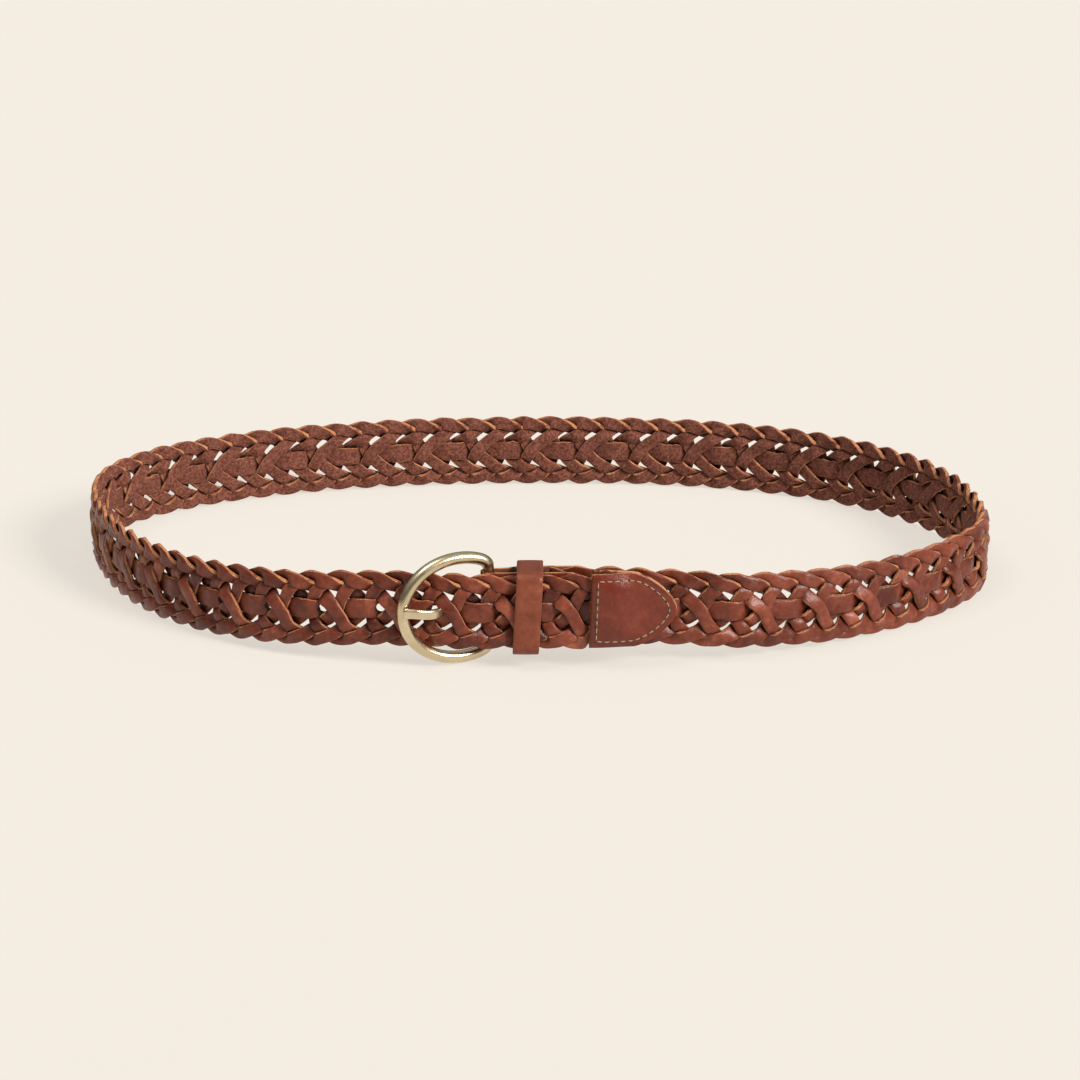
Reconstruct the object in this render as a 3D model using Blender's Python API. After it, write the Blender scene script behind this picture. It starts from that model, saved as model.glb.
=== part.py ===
"""Braided leather belt, closed in a loop and standing on edge: six woven strands round a centre strap."""
import bpy
import bmesh
import math
import numpy as np
from mathutils import Vector

MM = 0.001

# ---------------------------------------------------------------- sizes, in millimetres
LOOP_LEFT = 182.6            # strap centreline, from the middle to the left extreme
LOOP_RIGHT = 178.9           # ... and to the right extreme
LOOP_FRONT_DEPTH = 125.8     # front run from the middle
LOOP_BACK_DEPTH = 111.2      # back run from the middle
LEFT_END_Y = 21.8            # how far behind the middle the left extreme lies
RIGHT_END_Y = -27.0          # ... and the right one
FRONT_STRAIGHT = 43.7        # half length of the straight front run
LEFT_FRONT_SQUARENESS = 1.86
RIGHT_FRONT_SQUARENESS = 1.5
LEFT_BACK_SQUARENESS = 2.06
RIGHT_BACK_SQUARENESS = 2.42
PLAN_SOFTNESS = 9.0          # rounding length along the strap

STRAP_HALF_WIDTH = 15.0      # middle to the outer edge of a scallop
STRAND_WIDTH = STRAP_HALF_WIDTH * 16.0 / 75.0
STRAND_THICK = 1.2
LAYER_GAP = 0.3
CENTRE_WIDTH = STRAP_HALF_WIDTH * 37.0 / 75.0
CELL = 12.15                 # length of one scallop
PITCH_RIGHT = 24.4           # braid period on the right side of the front
MEAN_PITCH_SHARE = 0.96      # mean braid period over the right one
CROSS_RIGHT_X = 61.8         # a front crossing lies here on the right ...
CROSS_LEFT_X = -33.0         # ... and here by the buckle

OVERLAP_ROOM = 3.2           # leather, thread and gaps between the tail and the braid behind it
STEP_IN_HOLD = 29.0          # the strap behind the tail comes out a little behind the tip's closed end ...
STEP_IN_RAMP = 13.0
STEP_IN = 3.6
STEP_OUT_HOLD = 49.0         # ... and the rest of the way past its point
STEP_OUT_RAMP = 30.0
BRAID_START_X = 3.0
BRAID_END_X = 26.0
DIP_X = -51.0                # strap dips most here, under the left side of the frame
DIP_RIGHT = 26.0
DIP_LEFT = 52.0

BAR_X = -19.2
BAR_RADIUS = 1.9
ROD_RADIUS = 2.4
FRAME_CENTRE_X = -30.5
FRAME_HALF_LENGTH = 21.4     # rod centreline
FRAME_HALF_HEIGHT = STRAP_HALF_WIDTH + 4.8
FRAME_LEAN = 12.4            # rod centre on the left stands this far outward of the bar
FRAME_GAP = 1.0              # rod to the strap that dips under it
FRAME_LIFT = FRAME_HALF_HEIGHT + ROD_RADIUS     # its lowest point rests on the floor

PRONG_WIDTH = 3.9
PRONG_THICK = 2.0
PRONG_EYE_WALL = 1.1
PRONG_UNDER_X = -33.0        # here the prong still lies behind the strap ...
PRONG_OVER_X = -45.0         # ... and here it has come out through the hole
PRONG_REST_X = -49.5
PRONG_TIP_X = -52.8
PRONG_ROOM = 0.9             # strands next to the prong are pushed aside this far
CLEAR = 0.3

HOLE_DIAMETER = 4.2
HOLE_FROM_CROSS = -6.05
HOLE_COUNT = 4
SLOT_RIGHT_X = -29.5
SLOT_LEFT_X = -46.5
SLOT_WIDTH = 4.6

LEATHER = 1.3
TIP_START_X = 19.2
TIP_FLAT_LENGTH = 8.0        # both layers run apart over the braid's end, then close up
TIP_CLOSE_LENGTH = 13.0
TIP_STRAIGHT_LENGTH = 16.3
TIP_LENGTH = 32.6
TIP_HALF_HEIGHT = STRAP_HALF_WIDTH - 0.4
TIP_POINT_POWER = 1.4
TIP_NOSE_POWER = 0.62
CHAPE_END_X = 18.5
CHAPE_END_ROUNDING = 8.0
CHAPE_END_POWER = 3.0
CHAPE_HALF_HEIGHT = STRAP_HALF_WIDTH - 1.1
CHAPE_NECK_HALF_HEIGHT = STRAP_HALF_WIDTH - 1.6
CHAPE_NECK_X = -6.0
EYE_SLOT_WIDTH = 4.6
EYE_SLOT_REACH = 7.5

KEEPER_X = -4.6
KEEPER_WIDTH = 10.2
KEEPER_ROOM = 0.5            # inner face to the tail in front, and above and below it
KEEPER_WALL = 1.6
KEEPER_SKEW = 3.0            # degrees

THREAD_RADIUS = 0.28
STITCH_INSET = 2.5

STACK_ROOM = 0.1             # spare over the braid's highest strand
TILT_COST = 0.01
FLAT_COST = 0.05
AMPLITUDE = STRAP_HALF_WIDTH - STRAND_WIDTH / 2.0

# in-plane path of a falling strand over one traverse, relative to the crossing on the middle line
WAY_U = (-20.5, -14.5, -7.2, 0.0, 4.95, 9.8, 15.95)
WAY_V = (1.0, 0.88, 0.6, 0.0, -0.6, -0.88, -1.0)
STATION_U = (-20.5, -17.8, -14.5, -10.8, -7.2, -3.4, 0.0, 3.4, 7.2, 11.5)
PER_CYCLE = 2 * len(STATION_U)
PER_PERIOD = 6               # centre strap stations in one braid period
FIRST_CENTRE = 2 * PER_CYCLE
STATIONS = FIRST_CENTRE + PER_PERIOD


# ---------------------------------------------------------------- materials and objects
def clear_scene():
    for old in list(bpy.data.objects):
        bpy.data.objects.remove(old, do_unlink=True)


def material(name, colour, roughness, metallic):
    mat = bpy.data.materials.new(name)
    mat.use_nodes = True
    shader = mat.node_tree.nodes["Principled BSDF"]
    shader.inputs["Base Color"].default_value = (*colour, 1.0)
    shader.inputs["Roughness"].default_value = roughness
    shader.inputs["Metallic"].default_value = metallic
    mat.diffuse_color = (*colour, 1.0)
    return mat


def solid(name, verts, faces, mat, origin=(0.0, 0.0, 0.0), smooth=False):
    """One closed body in its own object; verts and origin in millimetres."""
    base = np.asarray(origin, float)
    points = (np.asarray(verts, float) - base) * MM
    mesh = bpy.data.meshes.new(name)
    mesh.from_pydata([tuple(p) for p in points], [], [tuple(f) for f in faces])
    work = bmesh.new()
    work.from_mesh(mesh)
    bmesh.ops.recalc_face_normals(work, faces=work.faces)
    if work.calc_volume(signed=True) < 0.0:
        bmesh.ops.reverse_faces(work, faces=work.faces)
    work.to_mesh(mesh)
    work.free()
    mesh.materials.append(mat)
    for face in mesh.polygons:
        face.use_smooth = smooth
    obj = bpy.data.objects.new(name, mesh)
    obj.location = Vector(tuple(base * MM))
    bpy.context.scene.collection.objects.link(obj)
    return obj


def apply_boolean(obj, cutter, operation):
    mod = obj.modifiers.new("cut", "BOOLEAN")
    mod.operation = operation
    mod.solver = "EXACT"
    mod.object = cutter
    bpy.context.view_layer.update()
    shaped = obj.evaluated_get(bpy.context.evaluated_depsgraph_get())
    mesh = bpy.data.meshes.new_from_object(shaped)
    old = obj.data
    obj.modifiers.clear()
    obj.data = mesh
    bpy.data.meshes.remove(old)
    bpy.data.objects.remove(cutter, do_unlink=True)


# ---------------------------------------------------------------- plan of the loop
def smooth_step(value):
    clipped = np.clip(value, 0.0, 1.0)
    return clipped * clipped * clipped * (clipped * (6.0 * clipped - 15.0) + 10.0)


def quarter(centre, half_x, half_y, power, sign_x, sign_y, count=400):
    angle = np.linspace(1e-9, math.pi / 2.0 - 1e-9, count)
    x = centre[0] + sign_x * half_x * np.cos(angle) ** (2.0 / power)
    y = centre[1] + sign_y * half_y * np.sin(angle) ** (2.0 / power)
    return np.stack([x, y], 1)


def evenly(points, count):
    step = np.linalg.norm(np.diff(points, axis=0), axis=1)
    run = np.concatenate([[0.0], np.cumsum(step)])
    at = np.linspace(0.0, run[-1], count)
    return np.stack([np.interp(at, run, points[:, k]) for k in (0, 1)], 1), run[-1]


def closed_plan():
    """Even points round the closed centreline, from the front middle, anticlockwise, and its length."""
    front = LOOP_FRONT_DEPTH
    back = LOOP_BACK_DEPTH
    right_front = quarter((FRONT_STRAIGHT, RIGHT_END_Y), LOOP_RIGHT - FRONT_STRAIGHT,
                          front + RIGHT_END_Y, RIGHT_FRONT_SQUARENESS, 1, -1)[::-1]
    right_back = quarter((0.0, RIGHT_END_Y), LOOP_RIGHT, back - RIGHT_END_Y, RIGHT_BACK_SQUARENESS, 1, 1)
    left_back = quarter((0.0, LEFT_END_Y), LOOP_LEFT, back - LEFT_END_Y, LEFT_BACK_SQUARENESS, -1, 1)[::-1]
    left_front = quarter((-FRONT_STRAIGHT, LEFT_END_Y), LOOP_LEFT - FRONT_STRAIGHT,
                         front + LEFT_END_Y, LEFT_FRONT_SQUARENESS, -1, -1)
    start = np.array([[0.0, -front]])
    rough = np.concatenate([start, right_front, right_back, left_back, left_front, start])
    count = 4000
    even, length = evenly(rough, count + 1)
    even = even[:-1]
    freq = np.fft.fftfreq(count, d=length / count)
    keep = np.exp(-2.0 * (math.pi * freq * PLAN_SOFTNESS) ** 2)
    soft = np.stack([np.fft.ifft(np.fft.fft(even[:, k]) * keep).real for k in (0, 1)], 1)
    first = int(np.argmin(np.abs(soft[:, 0]) + 1e3 * (soft[:, 1] > 0)))
    soft = np.roll(soft, -first, axis=0)
    soft = np.concatenate([soft, soft[:1]])
    soft[:, 1] -= soft[0, 1] + front
    return evenly(soft, count + 1)


PLAN, ROUND = closed_plan()
PLAN_RUN = np.linspace(0.0, ROUND, len(PLAN))


def plan_at(run):
    """Plan point and outward normal at a length along the closed centreline."""
    run = np.mod(np.asarray(run, float), ROUND)
    point = np.stack([np.interp(run, PLAN_RUN, PLAN[:, k]) for k in (0, 1)], -1)
    ahead = np.mod(run + 1.5, ROUND)
    back = np.mod(run - 1.5, ROUND)
    a = np.stack([np.interp(ahead, PLAN_RUN, PLAN[:, k]) for k in (0, 1)], -1)
    b = np.stack([np.interp(back, PLAN_RUN, PLAN[:, k]) for k in (0, 1)], -1)
    tangent = a - b
    tangent /= np.linalg.norm(tangent, axis=-1, keepdims=True)
    normal = np.stack([tangent[..., 1], -tangent[..., 0]], -1)
    return point, normal


def lift_at(x, y):
    """Rise of the strap's middle line: the front is held up by the frame, the rest stands on its edge."""
    rise = FRAME_LIFT - STRAP_HALF_WIDTH
    far = np.clip((np.abs(x + 8.0) - 40.0) / 115.0, 0.0, 1.0)
    front = smooth_step(np.clip(-y / 60.0, 0.0, 1.0))
    return STRAP_HALF_WIDTH + rise * (0.5 + 0.5 * np.cos(math.pi * far)) * front


def sideways(run):
    """Offset of the braid's middle from the closed centreline, outward positive."""
    inner = STEP_IN * smooth_step((run - STEP_IN_HOLD) / STEP_IN_RAMP) - OVERLAP_OFFSET
    rest = OVERLAP_OFFSET - STEP_IN
    inner = inner + rest * smooth_step((run - STEP_OUT_HOLD) / STEP_OUT_RAMP)
    late = run - ROUND
    left = smooth_step((late - (DIP_X - DIP_LEFT)) / DIP_LEFT)
    right = 1.0 - smooth_step((late - DIP_X) / DIP_RIGHT)
    return np.where(run < ROUND / 2.0, inner, -DIP_DEPTH * left * right)


def place(run, v, w):
    """World point, in millimetres, of strap coordinates: along, up and outward."""
    run = np.asarray(run, float)
    point, normal = plan_at(run)
    flat = point + normal * (np.asarray(w, float) + sideways(run))[..., None]
    z = lift_at(point[..., 0], point[..., 1]) + v
    return np.concatenate([flat, np.asarray(z)[..., None]], -1)


def front_place(x, w, z):
    """World point by the straight front run: x along, w outward, z over the strap's middle."""
    middle = float(lift_at(np.array(0.0), np.array(-LOOP_FRONT_DEPTH)))
    return (x, -LOOP_FRONT_DEPTH - w, middle + z)


# ---------------------------------------------------------------- braid pattern
def path_v(u):
    """Height of a falling strand, as a share of the amplitude, by monotone cubic pieces."""
    x = np.asarray(WAY_U)
    y = np.asarray(WAY_V)
    gap = np.diff(x)
    slope = np.diff(y) / gap
    inner = 2.0 * slope[1:] * slope[:-1] / (slope[1:] + slope[:-1])
    grade = np.concatenate([[0.0], inner, [0.0]])
    k = np.clip(np.searchsorted(x, u, side="right") - 1, 0, len(gap) - 1)
    t = (u - x[k]) / gap[k]
    h00 = (1.0 + 2.0 * t) * (1.0 - t) ** 2
    h10 = t * (1.0 - t) ** 2
    h01 = t * t * (3.0 - 2.0 * t)
    h11 = t * t * (t - 1.0)
    return h00 * y[k] + h10 * gap[k] * grade[k] + h01 * y[k + 1] + h11 * gap[k] * grade[k + 1]


def strand_point(kind, centre, rel):
    """In-plane point and side direction; kind is M or T falling, P or Q rising."""
    sign = 1.0 if kind in "MT" else -1.0
    v = sign * AMPLITUDE * float(path_v(rel))
    step = 0.05
    low = max(rel - step, WAY_U[0])
    high = min(rel + step, WAY_U[-1])
    rise = sign * AMPLITUDE * (float(path_v(high)) - float(path_v(low)))
    run = high - low
    if rel <= WAY_U[0] + 1e-9 or rel >= WAY_U[-1] - 1e-9:
        rise = 0.0
    size = math.hypot(run, rise)
    side = (-rise / size, run / size)
    return (centre + rel, v), side


def cycle(kinds, centre):
    """Stations of one full cycle: two traverses, each from turn to turn."""
    out = []
    for index, kind in enumerate(kinds):
        middle = centre + 3.0 * CELL * index
        for rel in STATION_U:
            point, side = strand_point(kind, middle, rel)
            out.append((kind, middle, point, side, rel))
    return out


def first_above(kind_a, centre_a, kind_b, centre_b):
    """+1 when strand a lies outward of strand b where they overlap, -1 when inward, 0 unknown."""
    step = int(round((centre_b - centre_a) / CELL))
    fall_a = kind_a in "MT"
    fall_b = kind_b in "MT"
    if fall_a == fall_b:
        return {1: 1, -1: -1}.get(step, 0)
    if not fall_a:
        return -first_above(kind_b, centre_b, kind_a, centre_a)
    if step == 0:
        return 1 if kind_a == "M" else -1
    return {-2: 1, -1: -1, 1: 1, 2: -1}.get(step, 0)


def clip_triangles(one, two):
    """Corners of the overlap of two plan triangles."""
    def signed(tri):
        return (tri[1][0] - tri[0][0]) * (tri[2][1] - tri[0][1]) \
            - (tri[1][1] - tri[0][1]) * (tri[2][0] - tri[0][0])
    poly = [tuple(p) for p in one]
    if signed(two) < 0.0:
        two = two[::-1]
    for i in range(3):
        a = two[i]
        b = two[(i + 1) % 3]
        kept = []
        for j in range(len(poly)):
            p = poly[j]
            q = poly[(j + 1) % len(poly)]
            dp = (b[0] - a[0]) * (p[1] - a[1]) - (b[1] - a[1]) * (p[0] - a[0])
            dq = (b[0] - a[0]) * (q[1] - a[1]) - (b[1] - a[1]) * (q[0] - a[0])
            if dp >= 0.0:
                kept.append(p)
            if (dp > 0.0 > dq) or (dp < 0.0 < dq):
                t = dp / (dp - dq)
                kept.append((p[0] + t * (q[0] - p[0]), p[1] + t * (q[1] - p[1])))
        poly = kept
        if len(poly) < 3:
            return []
    return poly


def weights(tri, point):
    """Barycentric shares of a point in a plan triangle."""
    (x0, y0), (x1, y1), (x2, y2) = tri
    det = (y1 - y2) * (x0 - x2) + (x2 - x1) * (y0 - y2)
    a = ((y1 - y2) * (point[0] - x2) + (x2 - x1) * (point[1] - y2)) / det
    b = ((y2 - y0) * (point[0] - x2) + (x0 - x2) * (point[1] - y2)) / det
    return a, b, 1.0 - a - b


def ribbon_pieces(stations, first_index, wrap, half):
    """Plan triangles of a ribbon cycle with the index of the height each corner takes."""
    out = []
    count = len(stations)
    for i in range(count):
        kind, centre, a, side_a, rel = stations[i]
        if i + 1 < count:
            nxt = stations[i + 1]
            b = nxt[2]
        else:
            nxt = stations[0]
            b = (nxt[2][0] + wrap, nxt[2][1])
        side_b = nxt[3]
        left_a = (a[0] + side_a[0] * half, a[1] + side_a[1] * half)
        right_a = (a[0] - side_a[0] * half, a[1] - side_a[1] * half)
        left_b = (b[0] + side_b[0] * half, b[1] + side_b[1] * half)
        right_b = (b[0] - side_b[0] * half, b[1] - side_b[1] * half)
        ia = 2 * (first_index + i)
        ib = 2 * (first_index + (i + 1) % count)
        out.append((kind, centre, (left_a, right_a, right_b), (ia, ia + 1, ib + 1)))
        out.append((kind, centre, (left_a, right_b, left_b), (ia, ib + 1, ib)))
    return out


def centre_stations():
    """Centre strap stations over one braid period, from a front crossing."""
    return [2.0 * CELL * k / PER_PERIOD for k in range(PER_PERIOD)]


def height_rows(half, half_centre):
    """Linear rows: the upper height less the lower one over every overlap corner."""
    ribbon_a = ribbon_pieces(cycle("MQ", 0.0), 0, 6.0 * CELL, half)
    ribbon_b = ribbon_pieces(cycle("TP", CELL), PER_CYCLE, 6.0 * CELL, half)
    moved = []
    for copy in range(-5, 6):
        shift = 2.0 * CELL * copy
        for which, pieces in ((0, ribbon_a), (1, ribbon_b)):
            for kind, centre, tri, index in pieces:
                tri = tuple((p[0] + shift, p[1]) for p in tri)
                moved.append(((which, copy % 3), kind, centre + shift, tri, index))
    strap = []
    marks = centre_stations() + [2.0 * CELL]
    for k in range(-8, 12):
        for i in range(PER_PERIOD):
            x0 = marks[i] + 2.0 * CELL * k
            x1 = marks[i + 1] + 2.0 * CELL * k
            ia = 2 * (FIRST_CENTRE + i)
            ib = 2 * (FIRST_CENTRE + (i + 1) % PER_PERIOD)
            h = half_centre
            strap.append((((x0, h), (x0, -h), (x1, -h)), (ia, ia + 1, ib + 1)))
            strap.append((((x0, h), (x1, -h), (x1, h)), (ia, ib + 1, ib)))
    rows = []

    def add(upper_tri, upper_index, lower_tri, lower_index):
        poly = clip_triangles(upper_tri, lower_tri)
        for point in poly:
            row = np.zeros(2 * STATIONS)
            for share, index in zip(weights(upper_tri, point), upper_index):
                row[index] += share
            for share, index in zip(weights(lower_tri, point), lower_index):
                row[index] -= share
            rows.append(row)

    for which, base in ((0, ribbon_a), (1, ribbon_b)):
        for kind, centre, tri, index in base:
            low = min(p[0] for p in tri)
            high = max(p[0] for p in tri)
            for owner, kind_b, centre_b, tri_b, index_b in moved:
                if owner == (which, 0):
                    continue
                if max(p[0] for p in tri_b) < low or min(p[0] for p in tri_b) > high:
                    continue
                order = first_above(kind, centre, kind_b, centre_b)
                if order > 0:
                    add(tri, index, tri_b, index_b)
                elif order < 0:
                    add(tri_b, index_b, tri, index)
            for tri_b, index_b in strap:
                if max(p[0] for p in tri_b) < low or min(p[0] for p in tri_b) > high:
                    continue
                if kind in "MP":
                    add(tri, index, tri_b, index_b)
                else:
                    add(tri_b, index_b, tri, index)
    return np.array(rows)


def bending_matrix():
    """Quadratic cost: sharp bends along each edge, twist, and a light pull to the middle plane."""
    cost = np.zeros((2 * STATIONS, 2 * STATIONS))
    for first, marks, wrap in (
            (0, [s[2] for s in cycle("MQ", 0.0)], 6.0 * CELL),
            (PER_CYCLE, [s[2] for s in cycle("TP", CELL)], 6.0 * CELL),
            (FIRST_CENTRE, [(u, 0.0) for u in centre_stations()], 2.0 * CELL)):
        count = len(marks)
        for i in range(count):
            a = marks[i - 1] if i else (marks[-1][0] - wrap, marks[-1][1])
            b = marks[i]
            c = marks[i + 1] if i + 1 < count else (marks[0][0] + wrap, marks[0][1])
            ab = math.dist(a, b)
            bc = math.dist(b, c)
            for side in (0, 1):
                row = np.zeros(2 * STATIONS)
                row[2 * (first + (i - 1) % count) + side] += 1.0 / ab
                row[2 * (first + i) + side] -= 1.0 / ab + 1.0 / bc
                row[2 * (first + (i + 1) % count) + side] += 1.0 / bc
                cost += np.outer(row, row) * 2.0 / (ab + bc)
            tilt = np.zeros(2 * STATIONS)
            tilt[2 * (first + i)] = 1.0
            tilt[2 * (first + i) + 1] = -1.0
            cost += np.outer(tilt, tilt) * TILT_COST
    return cost + FLAT_COST * np.eye(2 * STATIONS)


def solve_heights():
    """Least bending heights that keep every overlap a leather thickness and a gap apart."""
    need = STRAND_THICK + LAYER_GAP
    rows = height_rows(STRAND_WIDTH / 2.0 + 0.1, CENTRE_WIDTH / 2.0 + 0.1)
    keys = np.unique(np.round(rows, 5), axis=0)
    keys = keys[np.abs(keys).sum(axis=1) > 1e-6]
    inverse = np.linalg.inv(bending_matrix())
    spread = keys @ inverse
    stiff = np.einsum("ij,ij->i", spread, keys)
    push = np.zeros(len(keys))
    height = np.zeros(2 * STATIONS)
    for sweep in range(400):
        worst = 0.0
        for i in range(len(keys)):
            short = need - keys[i] @ height
            change = max(-push[i], short / stiff[i])
            if change != 0.0:
                push[i] += change
                height += spread[i] * change
                worst = max(worst, short)
        if worst < 1e-4:
            break
    return height


HEIGHT = solve_heights()

# sizes that follow from how thick the braid comes out
HALF_STACK = float(np.abs(HEIGHT).max()) + STRAND_THICK / 2.0 + STACK_ROOM
OVERLAP_OFFSET = 2.0 * HALF_STACK + OVERLAP_ROOM
FRAME_LEFT_OUT = FRAME_LEAN - OVERLAP_OFFSET
DIP_DEPTH = HALF_STACK + ROD_RADIUS + FRAME_GAP - FRAME_LEFT_OUT
PRONG_UNDER_W = -HALF_STACK - PRONG_THICK / 2.0 - 1.4
PRONG_REST_W = FRAME_LEFT_OUT + ROD_RADIUS + PRONG_THICK / 2.0 + 0.2
PRONG_OVER_W = PRONG_REST_W - 4.6
PRONG_TIP_W = PRONG_REST_W + 0.5
THREAD_OUT = LEATHER / 2.0 + CLEAR + THREAD_RADIUS + 0.05
CHAPE_FACE = HALF_STACK + CLEAR + LEATHER / 2.0
KEEPER_FRONT = HALF_STACK + KEEPER_ROOM
KEEPER_BACK = -OVERLAP_OFFSET - CHAPE_FACE - THREAD_OUT - THREAD_RADIUS - KEEPER_ROOM
KEEPER_HALF_HEIGHT = STRAP_HALF_WIDTH + KEEPER_ROOM


# ---------------------------------------------------------------- braid along the loop
def pitch_left():
    """Braid period at the buckle end, so the two reference crossings lie a whole number apart."""
    first = CROSS_RIGHT_X
    last = ROUND + CROSS_LEFT_X
    length = last - first

    def periods(pitch):
        grow = (pitch - PITCH_RIGHT) / length
        return math.log(pitch / PITCH_RIGHT) / grow if abs(grow) > 1e-9 else length / pitch
    low = 0.6 * PITCH_RIGHT
    high = 1.4 * PITCH_RIGHT
    for _ in range(60):
        middle = 0.5 * (low + high)
        if periods(middle) > whole_periods():
            low = middle
        else:
            high = middle
    return 0.5 * (low + high)


def whole_periods():
    """Number of periods between the reference crossings, kept near the wanted pitch."""
    length = ROUND + CROSS_LEFT_X - CROSS_RIGHT_X
    return int(round(length / (PITCH_RIGHT * MEAN_PITCH_SHARE)))


def run_of_cell():
    """Table from pattern length to length along the loop."""
    last_pitch = pitch_left()
    run = np.linspace(-60.0, ROUND + 60.0, 6000)
    share = (run - CROSS_RIGHT_X) / (ROUND + CROSS_LEFT_X - CROSS_RIGHT_X)
    pitch = PITCH_RIGHT + (last_pitch - PITCH_RIGHT) * np.clip(share, -0.1, 1.1)
    rate = 2.0 * CELL / pitch
    cell = np.concatenate([[0.0], np.cumsum(0.5 * (rate[1:] + rate[:-1]) * np.diff(run))])
    return cell - np.interp(CROSS_RIGHT_X, run, cell), run


CELL_TABLE, RUN_TABLE = run_of_cell()
CELL_START = float(np.interp(BRAID_START_X, RUN_TABLE, CELL_TABLE))
CELL_END = float(np.interp(ROUND + BRAID_END_X, RUN_TABLE, CELL_TABLE))
CELL_BUCKLE = float(np.interp(ROUND + CROSS_LEFT_X, RUN_TABLE, CELL_TABLE))


def bump(kind, cell):
    """Extra height of the strands on either side of the prong."""
    middle = CELL_BUCKLE if kind in "MP" else CELL_BUCKLE - CELL
    near = abs(cell - middle) / 6.6
    if near >= 1.0:
        return 0.0
    size = PRONG_ROOM * math.cos(0.5 * math.pi * near) ** 2
    return size if kind in "MP" else -size


def ribbon_mesh(sections, half_width, half_thick):
    """Closed ribbon through sections of (cell, v, side, left height, right height)."""
    count = len(sections)
    cell = np.array([s[0] for s in sections])
    v = np.array([s[1] for s in sections])
    side = np.array([s[2] for s in sections])
    verts = []
    for sign, column in ((1.0, 3), (-1.0, 4)):
        height = np.array([s[column] for s in sections])
        along = np.interp(cell + sign * half_width * side[:, 0], CELL_TABLE, RUN_TABLE)
        up = v + sign * half_width * side[:, 1]
        for face in (1.0, -1.0):
            verts.append(place(along, up, height + face * half_thick))
    # order round a section: left outer, left inner, right inner, right outer
    stack = np.stack([verts[0], verts[1], verts[3], verts[2]], 1).reshape(-1, 3)
    faces = []
    for i in range(count - 1):
        a = 4 * i
        b = a + 4
        faces.append((a, a + 3, b + 3))
        faces.append((a, b + 3, b))
        faces.append((a + 1, b + 2, a + 2))
        faces.append((a + 1, b + 1, b + 2))
        faces.append((a, b, b + 1))
        faces.append((a, b + 1, a + 1))
        faces.append((a + 2, b + 2, b + 3))
        faces.append((a + 2, b + 3, a + 3))
    faces.append((0, 1, 2))
    faces.append((0, 2, 3))
    last = 4 * (count - 1)
    faces.append((last, last + 2, last + 1))
    faces.append((last, last + 3, last + 2))
    return stack, faces


def blend_section(one, two, cell):
    """Section where a ribbon meets a given pattern length, between two stations."""
    share = (cell - one[0]) / (two[0] - one[0])
    mixed = [a + (b - a) * share for a, b in zip(one[:2], two[:2])]
    side = (one[2][0] + (two[2][0] - one[2][0]) * share, one[2][1] + (two[2][1] - one[2][1]) * share)
    size = math.hypot(*side)
    side = (side[0] / size, side[1] / size)
    left = one[3] + (two[3] - one[3]) * share
    right = one[4] + (two[4] - one[4]) * share
    return (cell, mixed[1], side, left, right)


def trimmed(sections):
    """Sections cut to the braid's two ends."""
    out = []
    for one, two in zip(sections[:-1], sections[1:]):
        if two[0] <= CELL_START or one[0] >= CELL_END:
            continue
        start = one if one[0] >= CELL_START else blend_section(one, two, CELL_START)
        if not out:
            out.append(start)
        out.append(two if two[0] <= CELL_END else blend_section(one, two, CELL_END))
    if len(out) > 2 and out[1][0] - out[0][0] < 0.8:
        del out[1]
    if len(out) > 2 and out[-1][0] - out[-2][0] < 0.8:
        del out[-2]
    return out


def strand_sections(kinds, offset):
    """All stations of one strand along the belt."""
    first = 0 if kinds == "MQ" else PER_CYCLE
    base = cycle(kinds, 0.0)
    wrap = 6.0 * CELL
    out = []
    start = int(math.floor((CELL_START - offset) / wrap)) - 1
    stop = int(math.ceil((CELL_END - offset) / wrap)) + 1
    for turn in range(start, stop + 1):
        for i, (kind, centre, point, side, rel) in enumerate(base):
            cell = point[0] + offset + wrap * turn
            more = bump(kind, cell)
            left = HEIGHT[2 * (first + i)] + more
            right = HEIGHT[2 * (first + i) + 1] + more
            out.append((cell, point[1], side, left, right))
    return trimmed(out)


def build_strands(mat):
    number = 1
    for kinds, shift in (("MQ", 0.0), ("TP", CELL)):
        for k in range(3):
            sections = strand_sections(kinds, shift + 2.0 * CELL * k)
            verts, faces = ribbon_mesh(sections, STRAND_WIDTH / 2.0, STRAND_THICK / 2.0)
            solid("strand_%d" % number, verts, faces, mat)
            number += 1


def build_centre(mat):
    sections = []
    wrap = 2.0 * CELL
    start = int(math.floor(CELL_START / wrap)) - 1
    stop = int(math.ceil(CELL_END / wrap)) + 1
    for turn in range(start, stop):
        for i, u in enumerate(centre_stations()):
            left = HEIGHT[2 * (FIRST_CENTRE + i)]
            right = HEIGHT[2 * (FIRST_CENTRE + i) + 1]
            sections.append((u + wrap * turn, 0.0, (0.0, 1.0), left, right))
    verts, faces = ribbon_mesh(trimmed(sections), CENTRE_WIDTH / 2.0, STRAND_THICK / 2.0)
    obj = solid("centre_strap", verts, faces, mat)
    for k in range(HOLE_COUNT):
        cell = CELL_BUCKLE - 2.0 * CELL * (k + 1) + HOLE_FROM_CROSS
        run = float(np.interp(cell, CELL_TABLE, RUN_TABLE))
        ends = [place(run, 0.0, w) for w in (-8.0, 8.0)]
        apply_boolean(obj, pin("hole_cutter", ends[0], ends[1], HOLE_DIAMETER / 2.0, 12), "DIFFERENCE")
    low = front_place(SLOT_LEFT_X, 6.0, -SLOT_WIDTH / 2.0)
    high = front_place(SLOT_RIGHT_X, -12.0, SLOT_WIDTH / 2.0)
    apply_boolean(obj, box("slot_cutter", low, high), "DIFFERENCE")


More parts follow.
